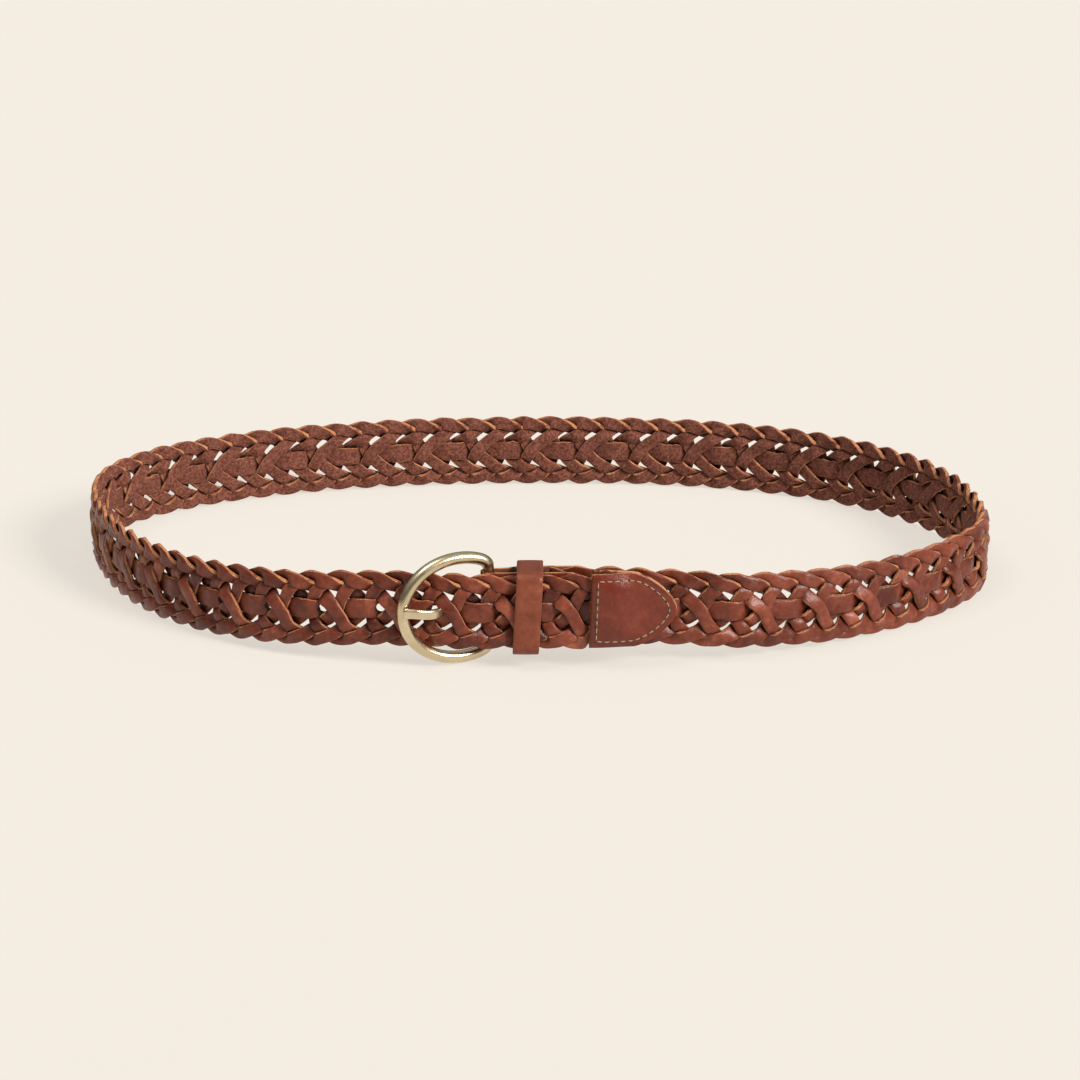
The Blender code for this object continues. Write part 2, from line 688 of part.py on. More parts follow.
# ---------------------------------------------------------------- simple closed shapes
def pin(name, start, end, radius, sides):
    start = np.asarray(start, float)
    end = np.asarray(end, float)
    axis = (end - start) / np.linalg.norm(end - start)
    across = np.cross(axis, (0.0, 0.0, 1.0)) if abs(axis[2]) < 0.9 else np.cross(axis, (1.0, 0.0, 0.0))
    across /= np.linalg.norm(across)
    other = np.cross(axis, across)
    verts = []
    for point in (start, end):
        for k in range(sides):
            angle = 2.0 * math.pi * k / sides
            verts.append(point + radius * (math.cos(angle) * across + math.sin(angle) * other))
    faces = [tuple(range(sides)), tuple(range(2 * sides - 1, sides - 1, -1))]
    for k in range(sides):
        n = (k + 1) % sides
        faces.append((k, sides + k, sides + n, n))
    return cutter(solid(name, verts, faces, bpy.data.materials["leather_grain"]))


def box(name, one, two):
    ends = (np.minimum(one, two), np.maximum(one, two))
    verts = [(ends[i][0], ends[j][1], ends[k][2]) for i in (0, 1) for j in (0, 1) for k in (0, 1)]
    faces = [(0, 1, 3, 2), (4, 6, 7, 5), (0, 4, 5, 1), (2, 3, 7, 6), (0, 2, 6, 4), (1, 5, 7, 3)]
    return cutter(solid(name, verts, faces, bpy.data.materials["leather_grain"]))


def cutter(obj):
    obj.hide_render = True
    obj.display_type = "WIRE"
    return obj


def loft(loops, closed):
    """Faces joining equal loops of corners, capped at the ends unless closed on itself."""
    count = len(loops)
    sides = len(loops[0])
    verts = [p for loop in loops for p in loop]
    faces = []
    for i in range(count if closed else count - 1):
        a = i * sides
        b = ((i + 1) % count) * sides
        for k in range(sides):
            n = (k + 1) % sides
            faces.append((a + k, a + n, b + n))
            faces.append((a + k, b + n, b + k))
    if not closed:
        faces.append(tuple(range(sides)))
        faces.append(tuple(range((count - 1) * sides, count * sides))[::-1])
    return verts, faces


def tube_loops(path, radii, closed, sides, phase=0.0):
    """Round sections square to a path, with no twist."""
    path = np.asarray(path, float)
    count = len(path)
    loops = []
    across = None
    for i in range(count):
        ahead = path[(i + 1) % count] if closed or i + 1 < count else path[i]
        back = path[i - 1] if closed or i > 0 else path[i]
        tangent = ahead - back
        tangent /= np.linalg.norm(tangent)
        if across is None:
            across = np.cross(tangent, (0.3, 1.0, 0.2))
        across = across - tangent * float(across @ tangent)
        across /= np.linalg.norm(across)
        other = np.cross(tangent, across)
        ring = []
        for k in range(sides):
            angle = phase + 2.0 * math.pi * k / sides
            ring.append(path[i] + radii[i] * (math.cos(angle) * across + math.sin(angle) * other))
        loops.append(ring)
    return loops


# ---------------------------------------------------------------- buckle
def frame_point(x, z):
    """Point of the frame's plane; it leans outward from the bar to the left side."""
    share = (BAR_X - x) / (BAR_X - (FRAME_CENTRE_X - FRAME_HALF_LENGTH))
    out = -OVERLAP_OFFSET + share * (FRAME_LEFT_OUT + OVERLAP_OFFSET)
    return front_place(x, out, z)


def build_frame(mat):
    end = math.acos((BAR_X - FRAME_CENTRE_X) / FRAME_HALF_LENGTH)
    path = []
    radii = []
    count = 25
    for i in range(count):
        angle = end + (2.0 * math.pi - 2.0 * end) * i / (count - 1)
        if i in (0, count - 1):
            continue
        path.append(frame_point(FRAME_CENTRE_X + FRAME_HALF_LENGTH * math.cos(angle),
                                FRAME_HALF_HEIGHT * math.sin(angle)))
        radii.append(ROD_RADIUS)
    corner = FRAME_HALF_HEIGHT * math.sin(end)
    for share in (-0.97, -0.86, -0.74, 0.0, 0.74, 0.86, 0.97):
        path.append(frame_point(BAR_X, corner * share))
        radii.append(ROD_RADIUS if abs(share) > 0.9 else BAR_RADIUS)
    verts, faces = loft(tube_loops(path, radii, True, 10), True)
    solid("buckle_frame", verts, faces, mat, frame_point(BAR_X, 0.0), smooth=True)


def prong_path():
    """Smooth run of the prong from its eye over the bar to its tip on the frame."""
    marks = [(BAR_X - 2.2, -OVERLAP_OFFSET + 0.9), (BAR_X - 6.0, -OVERLAP_OFFSET + 1.2),
             (PRONG_UNDER_X, PRONG_UNDER_W),
             (PRONG_OVER_X, PRONG_OVER_W), (PRONG_REST_X, PRONG_REST_W), (PRONG_TIP_X, PRONG_TIP_W)]
    marks = np.array(marks)
    run = np.concatenate([[0.0], np.cumsum(np.linalg.norm(np.diff(marks, axis=0), axis=1))])
    grade = np.gradient(marks, run, axis=0)
    out = []
    for i in range(len(marks) - 1):
        for t in np.linspace(0.0, 1.0, 4)[:-1]:
            size = run[i + 1] - run[i]
            h00 = (1.0 + 2.0 * t) * (1.0 - t) ** 2
            h10 = t * (1.0 - t) ** 2
            h01 = t * t * (3.0 - 2.0 * t)
            h11 = t * t * (t - 1.0)
            out.append(h00 * marks[i] + h10 * size * grade[i] + h01 * marks[i + 1]
                       + h11 * size * grade[i + 1])
    out.append(marks[-1])
    return np.array(out)


def build_prong(mat):
    path = prong_path()
    tangent = np.gradient(path, axis=0)
    tangent /= np.linalg.norm(tangent, axis=1, keepdims=True)
    loops = []
    half = PRONG_WIDTH / 2.0
    thick = PRONG_THICK / 2.0
    edge = 0.45
    for point, way in zip(path, tangent):
        up = np.array([way[1], -way[0]])
        if up[1] < 0.0:
            up = -up
        ring = []
        for z, w in ((half, thick - edge), (half - edge, thick), (edge - half, thick),
                     (-half, thick - edge), (-half, edge - thick), (edge - half, -thick),
                     (half - edge, -thick), (half, edge - thick)):
            spot = point + up * w
            ring.append(front_place(spot[0], spot[1], z))
        loops.append(ring)
    verts, faces = loft(loops, False)
    centre = front_place(BAR_X, -OVERLAP_OFFSET, 0.0)
    obj = solid("prong", verts, faces, mat, centre)
    eye_loops = []
    inner = BAR_RADIUS + CLEAR
    outer = inner + PRONG_EYE_WALL
    for k in range(16):
        angle = 2.0 * math.pi * k / 16
        ring = []
        for radius, z in ((inner, half), (outer, half), (outer, -half), (inner, -half)):
            ring.append(front_place(BAR_X + radius * math.cos(angle),
                                    -OVERLAP_OFFSET + radius * math.sin(angle), z))
        eye_loops.append(ring)
    verts, faces = loft(eye_loops, True)
    eye = cutter(solid("eye_cutter", verts, faces, mat, centre))
    apply_boolean(obj, eye, "UNION")


# ---------------------------------------------------------------- sewn leather ends
def plate_loops(path, heights, thick):
    """Flat strip sections: path of (x, w) in order, half heights, square to the path."""
    path = np.asarray(path, float)
    tangent = np.gradient(path, axis=0)
    tangent /= np.linalg.norm(tangent, axis=1, keepdims=True)
    loops = []
    for point, way, height in zip(path, tangent, heights):
        across = np.array([-way[1], way[0]]) * thick / 2.0
        one = point + across
        two = point - across
        loops.append([front_place(one[0], one[1], height), front_place(two[0], two[1], height),
                      front_place(two[0], two[1], -height), front_place(one[0], one[1], -height)])
    return loops


def tip_half_height(x):
    share = np.clip((x - TIP_START_X - TIP_STRAIGHT_LENGTH) / (TIP_LENGTH - TIP_STRAIGHT_LENGTH), 0.0, 1.0)
    return TIP_HALF_HEIGHT * (1.0 - share ** TIP_POINT_POWER) ** TIP_NOSE_POWER + 0.5 * share


def tip_middle(x):
    """Distance of a tip layer's middle from the tail's middle plane."""
    open_w = CHAPE_FACE
    shut_w = CLEAR / 2.0 + LEATHER / 2.0 + 0.02
    share = smooth_step((x - TIP_START_X - TIP_FLAT_LENGTH) / TIP_CLOSE_LENGTH)
    return open_w + (shut_w - open_w) * share


def tip_stations():
    open_part = np.linspace(TIP_START_X, TIP_START_X + TIP_FLAT_LENGTH, 2)
    close_end = TIP_START_X + TIP_FLAT_LENGTH + TIP_CLOSE_LENGTH
    closing = np.linspace(TIP_START_X + TIP_FLAT_LENGTH, close_end, 7)[1:]
    end = np.linspace(close_end, TIP_START_X + TIP_LENGTH, 8)[1:]
    return np.concatenate([open_part, closing, end])


def build_tip(name, side, mat):
    xs = tip_stations()
    path = np.stack([xs, side * tip_middle(xs)], 1)
    verts, faces = loft(plate_loops(path, tip_half_height(xs), LEATHER), False)
    solid(name, verts, faces, mat)


def chape_half_height(x):
    start = CHAPE_END_X - CHAPE_END_ROUNDING
    share = np.clip((x - start) / CHAPE_END_ROUNDING, 0.0, 1.0)
    neck = smooth_step((x - BAR_X - 4.0) / (CHAPE_NECK_X - BAR_X - 4.0))
    full = CHAPE_NECK_HALF_HEIGHT + (CHAPE_HALF_HEIGHT - CHAPE_NECK_HALF_HEIGHT) * neck
    return full * (1.0 - share ** CHAPE_END_POWER) ** 0.5 + 1.2 * share


def build_chape(mat):
    wide = CHAPE_FACE
    tight = BAR_RADIUS + CLEAR + LEATHER / 2.0
    xs = np.concatenate([[CHAPE_END_X, CHAPE_END_X - 0.5, CHAPE_END_X - 1.5, CHAPE_END_X - 3.0,
                          CHAPE_END_X - 5.0, CHAPE_END_X - CHAPE_END_ROUNDING],
                         np.linspace(CHAPE_NECK_X + 6.0, BAR_X, 6)])
    ease = smooth_step((xs - BAR_X) / (CHAPE_NECK_X + 6.0 - BAR_X))
    spread = tight + (wide - tight) * ease
    front = [(x, -OVERLAP_OFFSET + s) for x, s in zip(xs, spread)]
    back = [(x, -OVERLAP_OFFSET - s) for x, s in zip(xs, spread)][::-1]
    fold = []
    for k in range(1, 8):
        angle = math.pi / 2.0 + math.pi * k / 8.0
        fold.append((BAR_X + tight * math.cos(angle), -OVERLAP_OFFSET + tight * math.sin(angle)))
    path = front + fold + back
    heights = [float(chape_half_height(max(p[0], BAR_X))) for p in path]
    verts, faces = loft(plate_loops(path, heights, LEATHER), False)
    obj = solid("chape", verts, faces, mat)
    low = front_place(BAR_X - 8.0, -OVERLAP_OFFSET + 8.0, -EYE_SLOT_WIDTH / 2.0)
    high = front_place(BAR_X + EYE_SLOT_REACH, -OVERLAP_OFFSET - 8.0, EYE_SLOT_WIDTH / 2.0)
    apply_boolean(obj, box("slot_cutter", low, high), "DIFFERENCE")


def stitch_line(start, end, height, inset):
    """Closed line inside a sewn end's outline, as (x, z) pairs."""
    xs = np.linspace(start + inset, end - inset * 1.15, 15)
    top = [(x, float(height(x)) - inset) for x in xs]
    trimmed_top = []
    for i, (x, z) in enumerate(top):
        low = float(height(min(x + inset * 0.8, end)))
        trimmed_top.append((x, max(min(z, low * 0.93), 0.0)))
    trimmed_top = [p for p in trimmed_top if p[1] > 1.0]
    tip = [(trimmed_top[-1][0] + 0.55, 0.0)]
    bottom = [(x, -z) for x, z in reversed(trimmed_top)]
    left = [(start + inset, -trimmed_top[0][1] / 3.0), (start + inset, trimmed_top[0][1] / 3.0)]
    return trimmed_top + tip + bottom + left


def build_thread(name, line, surface, mat):
    """Thread run lying on a sewn face; surface gives the outward offset at x."""
    path = [front_place(x, surface(x), z) for x, z in line]
    verts, faces = loft(tube_loops(path, [THREAD_RADIUS] * len(path), True, 5), True)
    solid(name, verts, faces, mat)


def build_threads(mat):
    over = THREAD_OUT
    tip_line = stitch_line(TIP_START_X, TIP_START_X + TIP_LENGTH, tip_half_height, STITCH_INSET)
    build_thread("tip_thread_front", tip_line, lambda x: float(tip_middle(x)) + over, mat)
    build_thread("tip_thread_back", tip_line, lambda x: -float(tip_middle(x)) - over, mat)
    chape_line = stitch_line(CHAPE_NECK_X + 6.0, CHAPE_END_X, chape_half_height, STITCH_INSET)
    flat = CHAPE_FACE + over
    build_thread("chape_thread_front", chape_line, lambda x: -OVERLAP_OFFSET + flat, mat)
    build_thread("chape_thread_back", chape_line, lambda x: -OVERLAP_OFFSET - flat, mat)


def build_keeper(mat):
    """Plain band with rounded corners round the tail and the sewn end behind it."""
    low = KEEPER_BACK
    high = KEEPER_FRONT
    tall = KEEPER_HALF_HEIGHT
    loops = []
    skew = math.tan(math.radians(KEEPER_SKEW))
    corners = []
    bends = ((high, tall, 0.0), (low, tall, 90.0), (low, -tall, 180.0), (high, -tall, 270.0))
    for cx, cz, first in bends:
        round_in = 1.6
        x = cx - math.copysign(round_in, cx - (low + high) / 2.0)
        z = cz - math.copysign(round_in, cz)
        for k in range(4):
            angle = math.radians(first + 30.0 * k)
            corners.append((x, z, math.cos(angle), math.sin(angle), round_in))
    for w0, z0, cw, sw, r in corners:
        ring = []
        for radius, side in ((r, 0.5), (r + KEEPER_WALL, 0.5), (r + KEEPER_WALL, -0.5), (r, -0.5)):
            w = w0 + radius * cw
            z = z0 + radius * sw
            x = KEEPER_X + side * KEEPER_WIDTH + z * skew
            ring.append(front_place(x, w, z))
        loops.append(ring)
    verts, faces = loft(loops, True)
    middle = front_place(KEEPER_X, (low + high) / 2.0, 0.0)
    solid("keeper", verts, faces, mat, middle)


def settle_on_origin():
    """Moves the whole set so its box stands on the origin, centred."""
    bpy.context.view_layer.update()
    corners = []
    for obj in bpy.data.objects:
        for vertex in obj.data.vertices:
            corners.append(tuple(obj.matrix_world @ vertex.co))
    corners = np.array(corners)
    low = corners.min(axis=0)
    high = corners.max(axis=0)
    shift = Vector((-(low[0] + high[0]) / 2.0, -(low[1] + high[1]) / 2.0, -low[2]))
    for obj in bpy.data.objects:
        obj.location += shift
    print("moved by", [round(value / MM, 4) for value in shift])


def main():
    clear_scene()
    grain = material("leather_grain", (0.24, 0.075, 0.042), 0.5, 0.0)
    sewn = material("leather_sewn", (0.22, 0.062, 0.036), 0.4, 0.0)
    band = material("leather_keeper", (0.27, 0.10, 0.055), 0.45, 0.0)
    brass = material("brass_satin", (0.62, 0.49, 0.25), 0.32, 1.0)
    thread = material("thread_tan", (0.55, 0.36, 0.20), 0.75, 0.0)
    build_strands(grain)
    build_centre(grain)
    build_chape(sewn)
    build_tip("tip_front", 1.0, sewn)
    build_tip("tip_back", -1.0, sewn)
    build_threads(thread)
    build_keeper(band)
    build_frame(brass)
    build_prong(brass)
    settle_on_origin()


main()
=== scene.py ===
"""Braided leather belt: finished surfaces, materials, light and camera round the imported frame."""
import bpy
import bmesh
import math
import numpy as np
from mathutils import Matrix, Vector
from mathutils.bvhtree import BVHTree
from mathutils.kdtree import KDTree


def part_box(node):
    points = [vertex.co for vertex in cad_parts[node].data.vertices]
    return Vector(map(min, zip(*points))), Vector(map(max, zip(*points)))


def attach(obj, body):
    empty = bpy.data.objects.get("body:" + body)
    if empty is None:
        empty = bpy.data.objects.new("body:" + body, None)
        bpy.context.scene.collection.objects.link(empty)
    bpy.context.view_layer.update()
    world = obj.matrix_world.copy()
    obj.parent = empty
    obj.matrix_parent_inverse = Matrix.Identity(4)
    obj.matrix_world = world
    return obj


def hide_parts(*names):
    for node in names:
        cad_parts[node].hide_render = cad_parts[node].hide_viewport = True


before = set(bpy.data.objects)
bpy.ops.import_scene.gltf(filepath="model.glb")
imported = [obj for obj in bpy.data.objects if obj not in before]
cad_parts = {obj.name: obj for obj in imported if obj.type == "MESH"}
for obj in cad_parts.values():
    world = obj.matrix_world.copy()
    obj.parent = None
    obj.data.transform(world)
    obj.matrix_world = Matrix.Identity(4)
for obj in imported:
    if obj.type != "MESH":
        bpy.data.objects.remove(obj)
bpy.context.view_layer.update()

MM = 0.001

# ---------------------------------------------------------------- sizes, in millimetres
# The loop's own frame: x to the right, y to the back, both from its middle. A "run" is a length along the
# closed centreline from the front middle, anticlockwise, so the tail's runs lie beyond one whole round.
# Of a strap: v is up from its middle line and w outward from it. Pattern coordinates are the braid laid
# out straight, in cells: a strand's traverse is three cells long, and the braid repeats every two.
LOOP_LEFT = 182.6
LOOP_RIGHT = 178.9
LOOP_FRONT_DEPTH = 125.8
LOOP_BACK_DEPTH = 111.2
LEFT_END_Y = 21.8
RIGHT_END_Y = -27.0
FRONT_STRAIGHT = 43.7
LEFT_FRONT_SQUARENESS = 1.86
RIGHT_FRONT_SQUARENESS = 1.5
LEFT_BACK_SQUARENESS = 2.06
RIGHT_BACK_SQUARENESS = 2.42
PLAN_SOFTNESS = 9.0          # rounds the joins of the four quarters
PLAN_REACH = 1.5             # tangents are taken over this much to either side
STRAP_HALF_WIDTH = 15.0
CELL = 12.15                 # spacing of the crossings in the pattern
PITCH_RIGHT = 24.4           # two cells as they lie at the right, and on the average a little less
MEAN_PITCH_SHARE = 0.96
CROSS_RIGHT_X = 61.8         # two crossings that fix the pattern along the belt
CROSS_LEFT_X = -33.0
HALF_STACK = 3.109           # the braid's half thickness in the frame
OVERLAP_OFFSET = 2.0 * HALF_STACK + 3.2
STEP_IN_HOLD = 29.0          # the inner braid leaves the tail in two steps
STEP_IN_RAMP = 13.0
STEP_IN = 3.6
STEP_OUT_HOLD = 49.0
STEP_OUT_RAMP = 30.0
LIFT_MIDDLE_X = -8.0         # the strap is held highest here ...
LIFT_HOLD = 40.0             # ... over this much to either side
LIFT_FADE = 115.0
LIFT_DEPTH = 60.0
FRAME_GAP = 1.0
BRAID_START_X = 3.0
BRAID_END_X = 26.0
BAR_X = -19.2
BAR_RADIUS = 1.9
ROD_RADIUS = 2.4
FRAME_CENTRE_X = -30.5
FRAME_HALF_LENGTH = 21.4
FRAME_HALF_HEIGHT = 19.8
FRAME_LEFT_OUT = 12.4 - OVERLAP_OFFSET
FRAME_LIFT = 22.2            # height of the frame's middle
DIP_DEPTH = HALF_STACK + ROD_RADIUS + FRAME_GAP - FRAME_LEFT_OUT
DIP_X = -51.0                # the tail dips inward to pass under the frame's left side
DIP_RIGHT = 26.0
DIP_LEFT = 52.0
KEEPER_X = -4.6
KEEPER_WIDTH = 10.0
KEEPER_WALL = 1.6
KEEPER_FRONT = HALF_STACK + 0.5
KEEPER_BACK = -15.537
KEEPER_FRONT_HALF = 14.8
KEEPER_BACK_HALF = 14.2
KEEPER_SKEW = 3.0            # degrees
PRONG_WIDTH = 3.9
PRONG_THICK = 2.0
PRONG_END = 0.7              # length of its rounded end
EYE_GAP = 0.15
EYE_WALL = 1.2
EYE_CHAMFER = 0.3
EYE_BREAK = 0.2
ROUND_SIDES = 28
PRONG_MARKS = ((-21.6, -8.4), (-26.0, -7.6), (-32.0, -4.9), (-36.5, -0.6), (-40.5, 3.6), (-45.5, 6.0),
               (-49.0, 6.5), (-51.5, 6.8))
PRONG_RAISE = 1.4            # its tip lies this much over the middle of the frame
PRONG_LEVEL_X = -37.0

# light
SUNS = (("key_light", (0.80, -0.66, 0.66), 4.0, 22.0, (1.0, 0.97, 0.93)),
        ("top_light", (-0.35, -0.25, 1.0), 0.9, 30.0, (1.0, 0.99, 0.97)))
AIR_LOW = 0.10
AIR_HIGH = 0.50
FLOOR_SIZE = 9.0             # half a side, in metres
FLOOR_DROP = 0.0004
CAMERA_DISTANCE = 1.7
CAMERA_TILT = 18.0           # degrees above level
CAMERA_AIM = 0.0099          # height it looks at
CAMERA_LENS = 138.7

# the braid as it looks: real widths of the leather
STRAND_WIDTH = 5.1
STRAND_THICK = 1.75
CENTRE_WIDTH = 7.7
CENTRE_THICK = 1.8
STACK_THICK = 1.65           # spacing of crossing layers: leather gives a little
KEEPER_HOLD = 0.05           # the keeper draws the braid in by this share ...
KEEPER_HOLD_REACH = 7.0
DRAWN = 0.12                 # ... and the tip by this one
DRAWN_LEAD = 3.0
DRAWN_RAMP = 4.0
PRESSED = 0.22               # share of the braid's height lost where it is sewn or held
PRESSED_TAIL_X = -14.0
PRESSED_TAIL_RAMP = 8.0
PRESSED_START_X = 12.0
PRESSED_START_RAMP = 14.0
# a strand's way over one traverse: along, and up as a share of the way
WAY_U = (-22.5, -16.1, -8.6, 0.0, 3.55, 8.2, 13.95)
WAY_V = (1.0, 0.87, 0.56, 0.0, -0.56, -0.87, -1.0)
PATH_SOFTNESS = 1.3
SECTION_STEPS = 24           # stations of the strap over a period while solving
SWEEPS = 140
TOUCHING = 0.01              # an overlap this small counts as touching
SLOPE_FIRM = 0.6             # how hard the leather resists slope and bends along it, and bends across
BEND_FIRM = 2.5
CROSS_FIRM = {3: 9.0, 5: 90.0}   # by the number of columns: strand, strap
DAMPING = 0.01
EDGE_GIVE = 0.42             # share of its thickness that a cut edge gives way
EDGE_GIVE_FROM = 0.4
FRAY = 0.045                 # roughness of a cut edge, as a share of the half width
SOLVE_STEPS = 24             # stations of a traverse while solving
DRAW_STEPS = 40              # ... and when drawn
STRAP_STEPS = 36
SKY_RAYS = 40
SKY_REACH = 9.0              # painted shade darkens crevices by what stands this near
SKY_START = 0.12             # rays start this far off the surface
HOLE_RADIUS = 2.0
HOLE_FROM_CROSS = -6.05
HOLE_COUNT = 4
HOLE_SIDES = 28
HOLE_DEPTH = 7.0
SLOT_STRETCH = 1.7           # the hole the prong stands in is drawn out ...
SLOT_SHIFT = -1.4            # ... towards the pull

# the sewn ends
LEATHER = 1.3
CLEAR = 0.3
EDGE_BULGE = 0.16
TIP_START_X = 19.2
TIP_BEND_X = 35.5
TIP_END_X = 51.8
TIP_HALF_HEIGHT = 14.5
TIP_POINT_POWER = 1.4
TIP_NOSE_POWER = 0.62
TIP_BORDER = 6.5             # over this much from its edge the tip closes
TIP_CLOSE = 18.0             # length over which it thins towards its point
TIP_RAISE = 1.2              # sewn on a little high
TIP_SLANT = 0.04
TIP_SWELL = 0.9
TIP_SWELL_X = 30.0
TIP_SWELL_Z = 1.0
CHAPE_END_X = 18.5
CHAPE_HALF_HEIGHT = 13.9
CHAPE_NECK_HALF_HEIGHT = 13.4
CHAPE_NECK_X = -6.0
CHAPE_ROUND = 8.0            # length of its rounded end
STITCH_INSET = 2.45
STITCH_PITCH = 3.0
SHORTEST_STITCH = 0.3
THREAD_RADIUS = 0.25
THREAD_RISE = 0.20
THREAD_SUNK = 0.10
# a needle hole's rim, crest and foot: radius and height over the leather
NEEDLE_RINGS = ((0.60, 0.02), (0.44, 0.10), (0.30, -0.2))
NEEDLE_SIDES = 10
THREAD_SIDES = 8

keeper_low, keeper_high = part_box("keeper")
SHIFT_X = (keeper_low[0] + keeper_high[0]) / 2.0 / MM - KEEPER_X
SHIFT_Y = keeper_low[1] / MM + LOOP_FRONT_DEPTH + KEEPER_FRONT + KEEPER_WALL


# ---------------------------------------------------------------- plan of the loop
def smooth_step(value):
    clipped = np.clip(value, 0.0, 1.0)
    return clipped * clipped * clipped * (clipped * (6.0 * clipped - 15.0) + 10.0)


def unit(vectors):
    return vectors / (np.linalg.norm(vectors, axis=-1, keepdims=True) + 1e-12)


def right_of(tangent):
    return np.stack([tangent[..., 1], -tangent[..., 0]], -1)


def turns(count):
    """Even angles round a circle."""
    return np.linspace(0.0, 2.0 * math.pi, count, endpoint=False)


def run_along(points):
    """Length along a polyline at each of its points."""
    return np.concatenate([[0.0], np.cumsum(np.linalg.norm(np.diff(points, axis=0), axis=1))])


def even_points(points, count):
    """So many points, spaced evenly along a polyline in the plane, and its length."""
    run = run_along(points)
    at = np.linspace(0.0, run[-1], count)
    return np.stack([np.interp(at, run, points[:, k]) for k in (0, 1)], 1), run[-1]


def softened(values, spacing, softness):
    """Periodic samples with their fine detail smoothed away."""
    keep = np.exp(-2.0 * (math.pi * np.fft.fftfreq(len(values), d=spacing) * softness) ** 2)
    return np.fft.ifft(np.fft.fft(values) * keep).real


def quarter(centre, half_x, half_y, power, sign_x, sign_y, count=400):
    angle = np.linspace(1e-9, math.pi / 2.0 - 1e-9, count)
    x = centre[0] + sign_x * half_x * np.cos(angle) ** (2.0 / power)
    y = centre[1] + sign_y * half_y * np.sin(angle) ** (2.0 / power)
    return np.stack([x, y], 1)


def closed_plan():
    """Even points round the closed centreline, from the front middle, anticlockwise, and its length."""
    front = LOOP_FRONT_DEPTH
    back = LOOP_BACK_DEPTH
    right_front, right_back, left_back, left_front = (
        quarter((x, y), sign_x * (end - x), sign_y * (depth - y), power, sign_x, sign_y)
        for x, y, end, depth, power, sign_x, sign_y in (
            (FRONT_STRAIGHT, RIGHT_END_Y, LOOP_RIGHT, -front, RIGHT_FRONT_SQUARENESS, 1, -1),
            (0.0, RIGHT_END_Y, LOOP_RIGHT, back, RIGHT_BACK_SQUARENESS, 1, 1),
            (0.0, LEFT_END_Y, -LOOP_LEFT, back, LEFT_BACK_SQUARENESS, -1, 1),
            (-FRONT_STRAIGHT, LEFT_END_Y, -LOOP_LEFT, -front, LEFT_FRONT_SQUARENESS, -1, -1)))
    start = np.array([[0.0, -front]])
    rough = np.concatenate([start, right_front[::-1], right_back, left_back[::-1], left_front, start])
    count = 4000
    even, length = even_points(rough, count + 1)
    soft = np.stack([softened(even[:-1, k], length / count, PLAN_SOFTNESS) for k in (0, 1)], 1)
    first = int(np.argmin(np.abs(soft[:, 0]) + 1e3 * (soft[:, 1] > 0)))
    soft = np.roll(soft, -first, axis=0)
    soft = np.concatenate([soft, soft[:1]])
    soft[:, 1] -= soft[0, 1] + front
    return even_points(soft, count + 1)


PLAN, ROUND = closed_plan()
PLAN_RUN = np.linspace(0.0, ROUND, len(PLAN))


def plan_at(run):
    """Plan point and outward normal at a length along the closed centreline."""
    def on_plan(at):
        at = np.mod(at, ROUND)
        return np.stack([np.interp(at, PLAN_RUN, PLAN[:, k]) for k in (0, 1)], -1)
    run = np.asarray(run, float)
    tangent = unit(on_plan(run + PLAN_REACH) - on_plan(run - PLAN_REACH))
    return on_plan(run), right_of(tangent)


def lift_at(x, y):
    """Height of the strap's middle line: the frame holds the front up, the rest stands on its edge."""
    rise = FRAME_LIFT - STRAP_HALF_WIDTH
    far = np.clip((np.abs(x - LIFT_MIDDLE_X) - LIFT_HOLD) / LIFT_FADE, 0.0, 1.0)
    front = smooth_step(-y / LIFT_DEPTH)
    return STRAP_HALF_WIDTH + rise * (0.5 + 0.5 * np.cos(math.pi * far)) * front


def sideways(run):
    """Offset of the braid's middle from the closed centreline, outward positive."""
    inner = STEP_IN * smooth_step((run - STEP_IN_HOLD) / STEP_IN_RAMP) - OVERLAP_OFFSET
    rest = OVERLAP_OFFSET - STEP_IN
    inner = inner + rest * smooth_step((run - STEP_OUT_HOLD) / STEP_OUT_RAMP)
    late = run - ROUND
    left = smooth_step((late - (DIP_X - DIP_LEFT)) / DIP_LEFT)
    right = 1.0 - smooth_step((late - DIP_X) / DIP_RIGHT)
    return np.where(run < ROUND / 2.0, inner, -DIP_DEPTH * left * right)


def place(run, v, w):
    """World point, in metres, of strap coordinates: along, up and outward."""
    run = np.asarray(run, float)
    point, normal = plan_at(run)
    flat = point + normal * (np.asarray(w, float) + sideways(run))[..., None]
    flat = flat + np.array([SHIFT_X, SHIFT_Y])
    z = lift_at(point[..., 0], point[..., 1]) + v
    return np.concatenate([flat, np.asarray(z)[..., None]], -1) * MM


def front_place(x, w, z):
    """World point, in metres, by the straight front run: x along, w outward, z over the strap's middle."""
    x, w, z = np.broadcast_arrays(np.asarray(x, float), np.asarray(w, float), np.asarray(z, float))
    middle = float(lift_at(np.array(0.0), np.array(-LOOP_FRONT_DEPTH)))
    return np.stack([x + SHIFT_X, SHIFT_Y - LOOP_FRONT_DEPTH - w, middle + z], -1) * MM


def pitch_left():
    """Braid period at the buckle end, so the two reference crossings lie a whole number apart."""
    length = ROUND + CROSS_LEFT_X - CROSS_RIGHT_X
    whole = int(round(length / (PITCH_RIGHT * MEAN_PITCH_SHARE)))

    def periods(pitch):
        grow = (pitch - PITCH_RIGHT) / length
        return math.log(pitch / PITCH_RIGHT) / grow if abs(grow) > 1e-9 else length / pitch
    low = 0.6 * PITCH_RIGHT
    high = 1.4 * PITCH_RIGHT
    for _ in range(60):
        middle = 0.5 * (low + high)
        if periods(middle) > whole:
            low = middle
        else:
            high = middle
    return 0.5 * (low + high)


